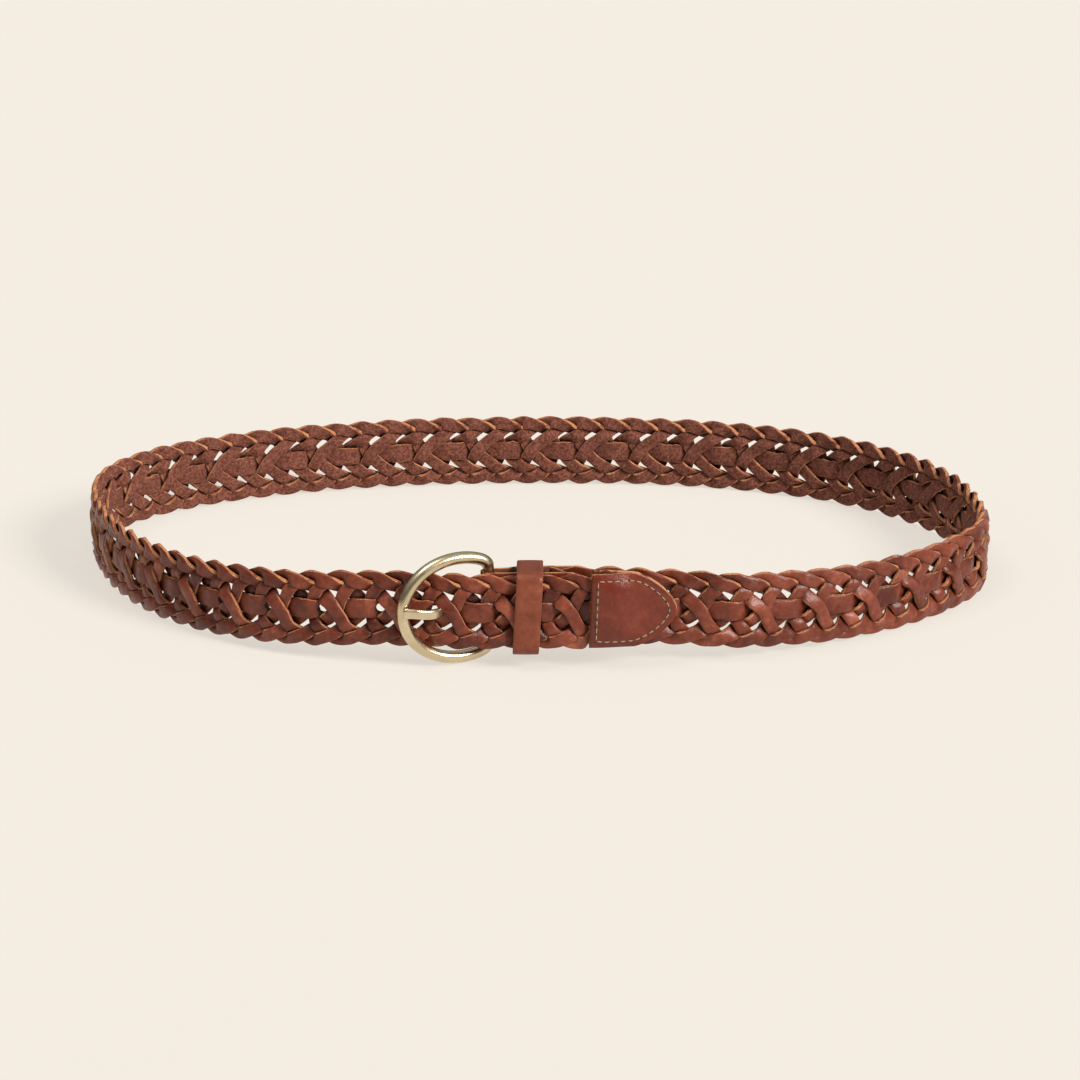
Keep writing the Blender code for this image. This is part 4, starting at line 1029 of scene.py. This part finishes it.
def finish_ribbon(name, points, run, shade, seed):
    obj = skin(name, points, [GRAIN])
    paint(obj, "side", np.tile(np.array(RING)[:, 2], len(points)))
    paint(obj, "tone", tone_along(run.ravel(), seed))
    # open-sky share, read by the material as painted crevice shade
    paint(obj, "shade", shade)
    return obj


def repeated(rows, shade, offset, wrap):
    """A period's rows laid end to end from the braid's start to its end."""
    start = int(math.floor((CELL_START - offset) / wrap)) - 1
    stop = int(math.ceil((CELL_END - offset) / wrap)) + 2
    cell = np.concatenate([rows[0] + offset + wrap * k for k in range(start, stop)])
    keep = (cell >= CELL_START) & (cell <= CELL_END)
    many = stop - start
    out = [cell[keep]]
    for row in rows[1:4]:
        out.append(np.tile(row, many)[keep])
    out.append(np.tile(rows[4], (many, 1))[keep])
    return out, np.tile(shade, (many, 1))[keep]


SKY = open_sky()


def build_strand(number, kinds, offset):
    rows, shade = repeated(strand_rows(kinds), SKY[kinds], offset, 6.0 * CELL)
    points, run = ribbon(*rows, CELLS.columns, STRAND_WIDTH, STRAND_THICK, 100 + number)
    obj = finish_ribbon("woven_strand_%d" % number, points, run, shade, 300 + number)
    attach(obj, "belt")
    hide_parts("strand_%d" % number)


def build_strap():
    rows, shade = repeated(strap_rows(), SKY["C"], 0.0, 2.0 * CELL)
    points, run = ribbon(*rows, CELLS.strap_c, CENTRE_WIDTH, CENTRE_THICK, 77)
    obj = finish_ribbon("woven_centre_strap", points, run, shade, 78)
    punch_holes(obj)
    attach(obj, "belt")
    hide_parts("centre_strap")


def punch_holes(obj):
    """The slot the prong stands in and the holes beyond it; cut points take their values from the nearest."""
    mesh = obj.data
    tree = KDTree(len(mesh.vertices))
    for i, vertex in enumerate(mesh.vertices):
        tree.insert(vertex.co, i)
    tree.balance()
    fields = {name: [d.value for d in mesh.attributes[name].data] for name in ("side", "tone", "shade")}
    # the holes' walls take the near-black painted hole shade
    mesh.materials.append(PAINTED_HOLE_SHADE)
    for k in range(HOLE_COUNT + 1):
        cell = CELL_BUCKLE - 2.0 * CELL * k + HOLE_FROM_CROSS
        run = float(np.interp(cell, CELL_TABLE, RUN_TABLE))
        stretch, shift = (SLOT_STRETCH, SLOT_SHIFT) if k == 0 else (1.0, 0.0)
        rings = []
        for w in (-HOLE_DEPTH, HOLE_DEPTH):
            for a in turns(HOLE_SIDES):
                rings.append(place(run + shift + HOLE_RADIUS * stretch * math.cos(a),
                                   HOLE_RADIUS * math.sin(a), w))
        cutter = new_object("hole_cutter", rings, grid_faces(2, HOLE_SIDES), [PAINTED_HOLE_SHADE, PAINTED_HOLE_SHADE])
        for face in cutter.data.polygons:
            face.material_index = 1
        mod = obj.modifiers.new("punch", "BOOLEAN")
        mod.operation = "DIFFERENCE"
        mod.solver = "EXACT"
        mod.object = cutter
        bpy.context.view_layer.update()
        shaped = obj.evaluated_get(bpy.context.evaluated_depsgraph_get())
        made = bpy.data.meshes.new_from_object(shaped)
        obj.modifiers.clear()
        obj.data = made
        bpy.data.objects.remove(cutter, do_unlink=True)
    mesh = obj.data
    near = [tree.find(vertex.co)[1] for vertex in mesh.vertices]
    for name, values in fields.items():
        if name in mesh.attributes:
            mesh.attributes.remove(mesh.attributes[name])
        paint(obj, name, [values[i] for i in near])


# ---------------------------------------------------------------- sewn tip and chape
def tip_half(x):
    share = np.clip((np.asarray(x, float) - TIP_BEND_X) / (TIP_END_X - TIP_BEND_X), 0.0, 1.0)
    return TIP_HALF_HEIGHT * (1.0 - share ** TIP_POINT_POWER) ** TIP_NOSE_POWER


def chape_half(x):
    share = np.clip((x - CHAPE_END_X + CHAPE_ROUND) / CHAPE_ROUND, 0.0, 1.0)
    neck = smooth_step((x - BAR_X - 4.0) / (CHAPE_NECK_X - BAR_X - 4.0))
    full = CHAPE_NECK_HALF_HEIGHT + (CHAPE_HALF_HEIGHT - CHAPE_NECK_HALF_HEIGHT) * neck
    return full * (1.0 - share ** 3.0) ** 0.5


def tip_out(x, z):
    """Middle of the tip's outer leather: it swells over the braid's end and closes at its border."""
    half = np.maximum(tip_half(x), 0.05)
    edge_x = np.minimum(x - TIP_START_X, TIP_END_X - x)
    border = np.clip(np.minimum(half - np.abs(z), edge_x * 1.4 + 1.5) / TIP_BORDER, 0.0, 1.0)
    border = np.sin(border * math.pi / 2.0)
    open_w = HALF_STACK + CLEAR + LEATHER / 2.0
    shut_w = CLEAR / 2.0 + LEATHER / 2.0
    share = smooth_step((x - TIP_START_X - 6.0) / TIP_CLOSE)
    crest = open_w + (shut_w - open_w) * share
    closing = 1.0 - smooth_step((x - TIP_START_X) / TIP_CLOSE)
    rim = np.minimum(crest, shut_w + (open_w - 1.5 - shut_w) * closing)
    dome = TIP_SWELL * np.exp(-((x - TIP_SWELL_X) / 7.5) ** 2 - ((z - TIP_SWELL_Z) / 8.5) ** 2)
    return rim + (crest - rim) * border + dome * border


def tip_world(x, w, z):
    """Sewn on a little high, its straight end cut a little aslant."""
    slant = TIP_SLANT * z * np.clip((TIP_BEND_X - x) / (TIP_BEND_X - TIP_START_X), 0.0, 1.0)
    return front_place(x + slant, w, z + TIP_RAISE)


def layered_plate(name, xs, half_of, out_of, mat, seed):
    """Closed leather layer: outer face, rounded border and inner face."""
    shares = np.array([-1.0, -0.96, -0.88, -0.76, -0.62, -0.46, -0.3, -0.15, 0.0,
                       0.15, 0.3, 0.46, 0.62, 0.76, 0.88, 0.96, 1.0])
    rows, columns = len(xs), len(shares)
    count = rows * columns
    x = np.repeat(xs[:, None], columns, 1)
    z = half_of(xs)[:, None] * shares[None, :]
    w = out_of(x, z)
    step = 0.05
    dwdx = (out_of(x + step, z) - out_of(x - step, z)) / (2.0 * step)
    dwdz = (out_of(x, z + step) - out_of(x, z - step)) / (2.0 * step)
    reach = np.stack([-dwdx, np.ones_like(w), -dwdz], -1)
    reach *= LEATHER / 2.0 / np.sqrt(1.0 + dwdx ** 2 + dwdz ** 2)[..., None]
    middle = np.stack([x, w, z], -1)
    verts = np.concatenate([(middle + reach).reshape(-1, 3), (middle - reach).reshape(-1, 3)])
    mark = np.ones((rows, columns))
    mark[[0, -1]] = mark[:, [0, -1]] = 0.3
    faces = []
    for i in range(rows - 1):
        for j in range(columns - 1):
            a = i * columns + j
            b = count + a
            faces.append((a, a + 1, a + columns + 1, a + columns))
            faces.append((b, b + columns, b + columns + 1, b + 1))
    border = list(range(columns))
    border += [i * columns + columns - 1 for i in range(1, rows)]
    border += [(rows - 1) * columns + j for j in range(columns - 2, -1, -1)]
    border += [i * columns for i in range(rows - 2, 0, -1)]
    wall = (verts[border] + verts[[count + b for b in border]]) / 2.0
    away = wall - np.array([(xs[0] + xs[-1]) / 2.0, 0.0, 0.0])
    away[:, 1] = 0.0
    base = len(verts)
    size = len(border)
    verts = np.concatenate([verts, wall + unit(away) * EDGE_BULGE])
    side = np.concatenate([mark.ravel(), -mark.ravel(), np.zeros(size)])
    for k in range(size):
        n = (k + 1) % size
        faces.append((border[k], border[n], base + n, base + k))
        faces.append((base + k, base + n, count + border[n], count + border[k]))
    obj = new_object(name, tip_world(*verts.T), faces, [mat])
    paint(obj, "side", side)
    paint(obj, "tone", tone_along(verts[:, 0] * 2.0 + verts[:, 2] * 3.0, seed))
    return obj


def tip_stations():
    straight = np.linspace(TIP_START_X, TIP_BEND_X, 16)
    angle = np.linspace(0.0, math.pi / 2.0, 22)[1:]
    nose = TIP_BEND_X + (TIP_END_X - TIP_BEND_X) * np.sin(angle)
    return np.concatenate([straight, nose[:-1], [TIP_END_X - 0.01]])


def build_tip():
    xs = tip_stations()
    for name, sign, node, seed in (("tip_outer_leather", 1.0, "tip_front", 501),
                                   ("tip_inner_leather", -1.0, "tip_back", 502)):
        if sign > 0:
            obj = layered_plate(name, xs, tip_half, tip_out, SEWN, seed)
        else:
            obj = layered_plate(name, xs, tip_half, lambda x, z: -tip_out(x, z), SEWN, seed)
            flip = [-d.value for d in obj.data.attributes["side"].data]
            obj.data.attributes["side"].data.foreach_set("value", flip)
        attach(obj, "belt")
        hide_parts(node)


def build_chape():
    """Leather folded round the bar: one long section swept over its outline."""
    wide = HALF_STACK + CLEAR + LEATHER / 2.0
    tight = BAR_RADIUS + CLEAR + LEATHER / 2.0
    s = np.concatenate([CHAPE_END_X - np.linspace(0.0, CHAPE_ROUND, 14),
                        np.linspace(CHAPE_END_X - CHAPE_ROUND, BAR_X, 34)[1:]])
    spread = tight + (wide - tight) * smooth_step((s - BAR_X) / (CHAPE_NECK_X + 6.0 - BAR_X))
    fold = np.linspace(math.pi / 2.0, 3.0 * math.pi / 2.0, 22)[1:-1]
    px = np.concatenate([s, BAR_X + tight * np.cos(fold), s[::-1]])
    pw = np.concatenate([spread, tight * np.sin(fold), -spread[::-1]]) - OVERLAP_OFFSET
    normal = right_of(unit(np.gradient(np.stack([px, pw], 1), axis=0)))
    if normal[0, 1] < 0:
        normal = -normal
    half_z = np.maximum(chape_half(np.maximum(px, BAR_X)), 1.0)
    edge = ((0.8, 0.4, 0.992), (0.3, 0.0, 1.0), (-0.4, 0.0, 1.0), (-0.95, -0.6, 0.985))
    ring = [(c, 1.0, 1.0) for c in np.linspace(-0.97, 0.97, 13)]
    ring += [(c, off, side) for off, side, c in edge]
    ring += [(c, -1.0, -1.0) for c in np.linspace(0.9, -0.9, 9)]
    ring += [(-c, off, side) for off, side, c in edge[::-1]]
    ring = np.array(ring)
    off = ring[None, :, 1] * LEATHER / 2.0
    world = front_place(px[:, None] + normal[:, 0:1] * off, pw[:, None] + normal[:, 1:2] * off,
                        half_z[:, None] * ring[None, :, 0])
    obj = skin("chape_leather", world, [SEWN])
    paint(obj, "side", np.tile(ring[:, 2], len(px)))
    paint(obj, "tone", tone_along(np.repeat(px, len(ring)) * 2.0, 503))
    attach(obj, "belt")
    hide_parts("chape")


def tube(path, radii, sides):
    """Round sections square to an open path."""
    tangent = unit(np.gradient(path, axis=0))
    across = np.cross(tangent[0], (0.3, 1.0, 0.2))
    angle = turns(sides)[:, None]
    loops = []
    for point, way, radius in zip(path, tangent, radii):
        across = unit(across - way * float(across @ way))
        loops.append(point + radius * (np.cos(angle) * across + np.sin(angle) * np.cross(way, across)))
    return np.array(loops)


def stitch_line(half_of, start, end):
    """Even points on the outline drawn in: top first, round the point, back along the bottom."""
    xs = np.concatenate([np.linspace(start, start + 0.5 * (end - start), 40),
                         start + (end - start) * (0.5 + 0.5 * np.sin(np.linspace(0, math.pi / 2, 160)))])
    edge = np.stack([xs, half_of(xs)], 1)
    edge = np.concatenate([edge, edge[::-1] * np.array([1.0, -1.0])])
    moved = edge + right_of(unit(np.gradient(edge, axis=0))) * STITCH_INSET
    keep = [p for p in moved if p[0] > start + STITCH_INSET
            and np.min(np.linalg.norm(edge - p, axis=1)) > STITCH_INSET * 0.985]
    top = (start + STITCH_INSET, keep[0][1])
    low = (start + STITCH_INSET, keep[-1][1])
    outline = np.array([top, *keep, low, top])
    count = max(2, int(round(run_along(outline)[-1] / STITCH_PITCH)))
    return even_points(outline, count + 1)[0]


def build_stitches(name, line, surface, sign, node, place_of):
    """Single stitches: short threads that dip into the leather, with a dark lens of painted needle-hole shade
    between them.
    """
    parts = []
    for a, b in zip(line[:-1], line[1:]):
        if np.linalg.norm(b - a) < SHORTEST_STITCH:
            continue
        t = np.linspace(0.0, 1.0, 9)
        flat = a + (b - a) * (0.16 + 0.68 * t)[:, None]
        rise = THREAD_RISE * np.sin(math.pi * t) ** 0.5 - THREAD_SUNK
        w = np.array([surface(*p) for p in flat]) + sign * rise
        radii = THREAD_RADIUS * (0.55 + 0.45 * np.sin(math.pi * np.clip(t, 0.03, 0.97)) ** 0.6)
        rings = tube(np.stack([flat[:, 0], w, flat[:, 1]], 1), radii, THREAD_SIDES)
        parts.append((rings.reshape(-1, 3), grid_faces(len(t), THREAD_SIDES), 0))
    parts += [(*needle_hole(p, surface(*p), sign), 1) for p in line[:-1]]
    faces = []
    mats = []
    base = 0
    for verts, made, mat in parts:
        faces += shifted(made, base)
        mats += [mat] * len(made)
        base += len(verts)
    points = np.concatenate([part[0] for part in parts])
    obj = new_object(name, place_of(*points.T), faces, [THREAD, PAINTED_HOLE_SHADE])
    for face, index in zip(obj.data.polygons, mats):
        face.material_index = index
    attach(obj, "belt")
    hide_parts(node)


def needle_hole(p, w, sign):
    """Small dark lens set in the face: painted shade of the needle hole."""
    sides = NEEDLE_SIDES
    verts = [(p[0] + r * math.cos(angle), w + sign * h, p[1] + r * math.sin(angle))
             for r, h in NEEDLE_RINGS for angle in 2.0 * math.pi * np.arange(sides) / sides]
    faces = []
    for ring_a, ring_b in ((1, 0), (0, 2)):
        for k in range(sides):
            n = (k + 1) % sides
            faces.append((ring_a * sides + k, ring_a * sides + n, ring_b * sides + n, ring_b * sides + k))
    faces.append(tuple(range(sides, 2 * sides)))
    faces.append(tuple(range(2 * sides, 3 * sides))[::-1])
    return np.array(verts), faces


def build_sewing():
    tip_line = stitch_line(tip_half, TIP_START_X, TIP_END_X - 0.01)
    chape_line = stitch_line(chape_half, 0.0, CHAPE_END_X - 0.01)
    half = LEATHER / 2.0
    flat = HALF_STACK + CLEAR + LEATHER
    for name, line, surface, sign, node, place_of in (
            ("tip_stitches_outer", tip_line, lambda x, z: float(tip_out(x, z)) + half, 1.0,
             "tip_thread_front", tip_world),
            ("tip_stitches_inner", tip_line, lambda x, z: -float(tip_out(x, z)) - half, -1.0,
             "tip_thread_back", tip_world),
            ("chape_stitches_outer", chape_line, lambda x, z: -OVERLAP_OFFSET + flat, 1.0,
             "chape_thread_front", front_place),
            ("chape_stitches_inner", chape_line, lambda x, z: -OVERLAP_OFFSET - flat, -1.0,
             "chape_thread_back", front_place)):
        build_stitches(name, line, surface, sign, node, place_of)


# ---------------------------------------------------------------- keeper
def build_keeper():
    """Band round the corners of a box, each station with its corner's radius and direction."""
    low, high = KEEPER_BACK, KEEPER_FRONT
    middle = (low + high) / 2.0
    loop = []
    for cw, cz, first, round_in in (
            (high, KEEPER_FRONT_HALF, 0.0, 2.4), (low, KEEPER_BACK_HALF, 90.0, 1.6),
            (low, -KEEPER_BACK_HALF, 180.0, 1.6), (high, -KEEPER_FRONT_HALF, 270.0, 2.0)):
        w = cw - math.copysign(round_in, cw - middle)
        z = cz - math.copysign(round_in, cz)
        for k in range(9):
            angle = math.radians(first + 90.0 * k / 8.0)
            loop.append((w, z, math.cos(angle), math.sin(angle), round_in))
    loop = refine_loop(np.array(loop))
    right = ((0.2, 1.05, 1.0), (0.6, 1.03, 1.0), (0.93, 1.0, 1.0), (0.985, 0.86, 0.5), (1.0, 0.6, 0.0),
             (1.0, 0.15, 0.0), (0.98, 0.0, -0.7), (0.5, 0.0, -1.0))
    left = [(-c, *rest) for c, *rest in right]
    ring = np.array([*left[2::-1], *right, (0.0, 0.0, -1.0), *left[:2:-1]])
    radius = loop[:, 4:5] + KEEPER_WALL * ring[None, :, 1]
    w = loop[:, 0:1] + radius * loop[:, 2:3]
    z = loop[:, 1:2] + radius * loop[:, 3:4]
    x = KEEPER_X + KEEPER_WIDTH / 2.0 * ring[None, :, 0] + z * math.tan(math.radians(KEEPER_SKEW))
    obj = skin("keeper_band", front_place(x, w, z), [BAND], True)
    paint(obj, "side", np.tile(ring[:, 2], len(loop)))
    paint(obj, "tone", tone_along(z.ravel() * 4.0, 601))
    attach(obj, "loop")
    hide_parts("keeper")


def refine_loop(loop):
    """More stations on the straight sides of the band."""
    out = []
    for a, b in zip(loop, np.roll(loop, -1, 0)):
        out.append(a)
        start, end = (p[:2] + p[4] * p[2:4] for p in (a, b))
        gap = math.hypot(*(end - start))
        if gap > 2.0:
            out += [a + (b - a) * t for t in np.linspace(0.0, 1.0, int(gap / 1.2) + 1)[1:-1]]
    return np.array(out)


# ---------------------------------------------------------------- buckle
def frame_out(x):
    share = (BAR_X - x) / (BAR_X - (FRAME_CENTRE_X - FRAME_HALF_LENGTH))
    return -OVERLAP_OFFSET + share * (FRAME_LEFT_OUT + OVERLAP_OFFSET)


def build_buckle():
    end = math.acos((BAR_X - FRAME_CENTRE_X) / FRAME_HALF_LENGTH)
    angle = np.linspace(end, 2.0 * math.pi - end, 97)
    arc = np.stack([FRAME_CENTRE_X + FRAME_HALF_LENGTH * np.cos(angle), FRAME_HALF_HEIGHT * np.sin(angle)], 1)
    corner = FRAME_HALF_HEIGHT * math.sin(end)
    bar = np.stack([np.full(31, BAR_X), np.linspace(-corner, corner, 31)], 1)
    path = np.concatenate([arc[1:-1], bar[1:-1]])
    share = np.abs(path[:, 1]) / corner
    thin = np.where(np.arange(len(path)) >= len(arc) - 2, 1.0 - smooth_step((share - 0.82) / 0.14), 0.0)
    radii = ROD_RADIUS + (BAR_RADIUS - ROD_RADIUS) * thin
    for _ in range(6):
        path = 0.5 * path + 0.25 * (np.roll(path, 1, 0) + np.roll(path, -1, 0))
    points = np.stack([path[:, 0], frame_out(path[:, 0]), path[:, 1]], 1)
    obj = skin("buckle_rod", front_place(*np.moveaxis(frame_section(points, radii), -1, 0)), [BRASS], True)
    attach(obj, "frame")
    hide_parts("buckle_frame")


def squarish(power_a, power_b):
    """Round section, squarer the smaller its powers are."""
    angle = turns(ROUND_SIDES)
    a, b = np.cos(angle), np.sin(angle)
    return np.sign(a) * np.abs(a) ** power_a, np.sign(b) * np.abs(b) ** power_b


def frame_section(points, radii):
    """Rod section with a soft crest towards the front and rounded flanks."""
    a, b = squarish(0.9, 0.9)
    size = 1.0 / np.maximum(np.hypot(a, b), 1.0)
    a, b = (a * size)[:, None], (b * size)[:, None]
    out = np.array([0.0, 1.0, 0.0])
    rings = []
    for point, way, radius in zip(points, unit(np.roll(points, -1, 0) - np.roll(points, 1, 0)), radii):
        front = unit(out - way * float(out @ way))
        rings.append(point + radius * (a * front + b * np.cross(way, front)))
    return np.array(rings)


def build_prong():
    marks = np.array(PRONG_MARKS)
    run = run_along(marks)
    grade = np.gradient(marks, run, axis=0)
    path = []
    for i, size in enumerate(np.diff(run)):
        for t in np.linspace(0.0, 1.0, 9)[:-1]:
            path.append((1.0 + 2.0 * t) * (1.0 - t) ** 2 * marks[i] + t * (1.0 - t) ** 2 * size * grade[i]
                        + t * t * (3.0 - 2.0 * t) * marks[i + 1] + t * t * (t - 1.0) * size * grade[i + 1])
    path = np.array([*path, marks[-1]])
    up = right_of(unit(np.gradient(path, axis=0)))
    up[up[:, 1] < 0.0] *= -1.0
    tail = np.minimum(np.linalg.norm(path - path[-1], axis=1) / PRONG_END, 1.0)
    ends = np.sqrt(1.0 - (1.0 - tail) ** 2 * 0.45)[:, None]
    a, b = squarish(0.55, 0.7)
    off = b[None, :] * PRONG_THICK / 2.0 * ends
    x = path[:, :1] + up[:, :1] * off
    w = path[:, 1:] + up[:, 1:] * off
    z = a[None, :] * PRONG_WIDTH / 2.0 * ends
    z = z + PRONG_RAISE * smooth_step((PRONG_LEVEL_X - x) / (PRONG_LEVEL_X - path[-1, 0]))
    obj = skin("prong_brass", front_place(x, w, z), [BRASS])
    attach(obj, "tongue")
    eye = build_eye()
    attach(eye, "tongue")
    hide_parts("prong")


def build_eye():
    """Ring of the prong round the bar."""
    inner = BAR_RADIUS + EYE_GAP
    outer = inner + EYE_WALL
    half = PRONG_WIDTH / 2.0
    r, z = np.array([(inner, half - EYE_BREAK), (inner + EYE_BREAK, half), (outer - EYE_CHAMFER, half),
                     (outer, half - EYE_CHAMFER)]).T
    r, z = np.concatenate([r, r[::-1]]), np.concatenate([-z, z[::-1]])
    angle = turns(40)[:, None]
    world = front_place(BAR_X + r * np.cos(angle), -OVERLAP_OFFSET + r * np.sin(angle), z)
    return skin("prong_eye", world, [BRASS], True)


# ---------------------------------------------------------------- light, floor and camera
def build_stage():
    size = FLOOR_SIZE
    corners = [(-size, -size, 0), (size, -size, 0), (size, size, 0), (-size, size, 0)]
    mesh = bpy.data.meshes.new("studio_floor")
    mesh.from_pydata(corners, [], [(0, 1, 2, 3)])
    mesh.materials.append(floor_material("pale_floor"))
    floor = bpy.data.objects.new("studio_floor", mesh)
    floor.location.z = -FLOOR_DROP
    bpy.context.scene.collection.objects.link(floor)
    build_air()
    for name, toward, strength, spread, tint in SUNS:
        light = bpy.data.lights.new(name, "SUN")
        light.energy = strength
        light.angle = math.radians(spread)
        light.color = tint
        obj = bpy.data.objects.new(name, light)
        obj.location = Vector(toward)
        obj.rotation_euler = Vector(toward).to_track_quat("Z", "Y").to_euler()
        bpy.context.scene.collection.objects.link(obj)


def build_air():
    """Sky of the studio: bright overhead, darker towards the walls."""
    world = bpy.data.worlds.new("studio_air")
    bpy.context.scene.world = world
    world.use_nodes = True
    tree = world.node_tree
    where = tree.nodes.new("ShaderNodeTexCoord")
    split = tree.nodes.new("ShaderNodeSeparateXYZ")
    level = tree.nodes.new("ShaderNodeMapRange")
    level.interpolation_type = "SMOOTHSTEP"
    level.inputs["From Min"].default_value = 0.15
    level.inputs["From Max"].default_value = 0.85
    level.inputs["To Min"].default_value = AIR_LOW
    level.inputs["To Max"].default_value = AIR_HIGH
    back = tree.nodes["Background"]
    back.inputs["Color"].default_value = (1.0, 0.985, 0.96, 1.0)
    tree.links.new(where.outputs["Generated"], split.inputs[0])
    tree.links.new(split.outputs["Z"], level.inputs["Value"])
    tree.links.new(level.outputs["Result"], back.inputs["Strength"])


def build_camera():
    camera = bpy.data.cameras.new("view")
    camera.sensor_width = 36.0
    camera.lens = CAMERA_LENS
    camera.clip_end = 30.0
    obj = bpy.data.objects.new("view", camera)
    tilt = math.radians(CAMERA_TILT)
    level = CAMERA_DISTANCE * math.cos(tilt)
    height = CAMERA_AIM + CAMERA_DISTANCE * math.sin(tilt)
    obj.location = (SHIFT_X * MM, SHIFT_Y * MM - level, height)
    obj.rotation_euler = (math.pi / 2.0 - tilt, 0.0, 0.0)
    bpy.context.scene.collection.objects.link(obj)
    bpy.context.scene.camera = obj


for number, (kinds, offset) in enumerate((("MQ", 0.0), ("MQ", 2.0 * CELL), ("MQ", 4.0 * CELL),
                                          ("TP", CELL), ("TP", 3.0 * CELL), ("TP", 5.0 * CELL)), 1):
    build_strand(number, kinds, offset)
build_strap()
build_tip()
build_chape()
build_sewing()
build_keeper()
build_buckle()
build_prong()
build_stage()
build_camera()
bpy.context.scene.view_settings.view_transform = "Standard"
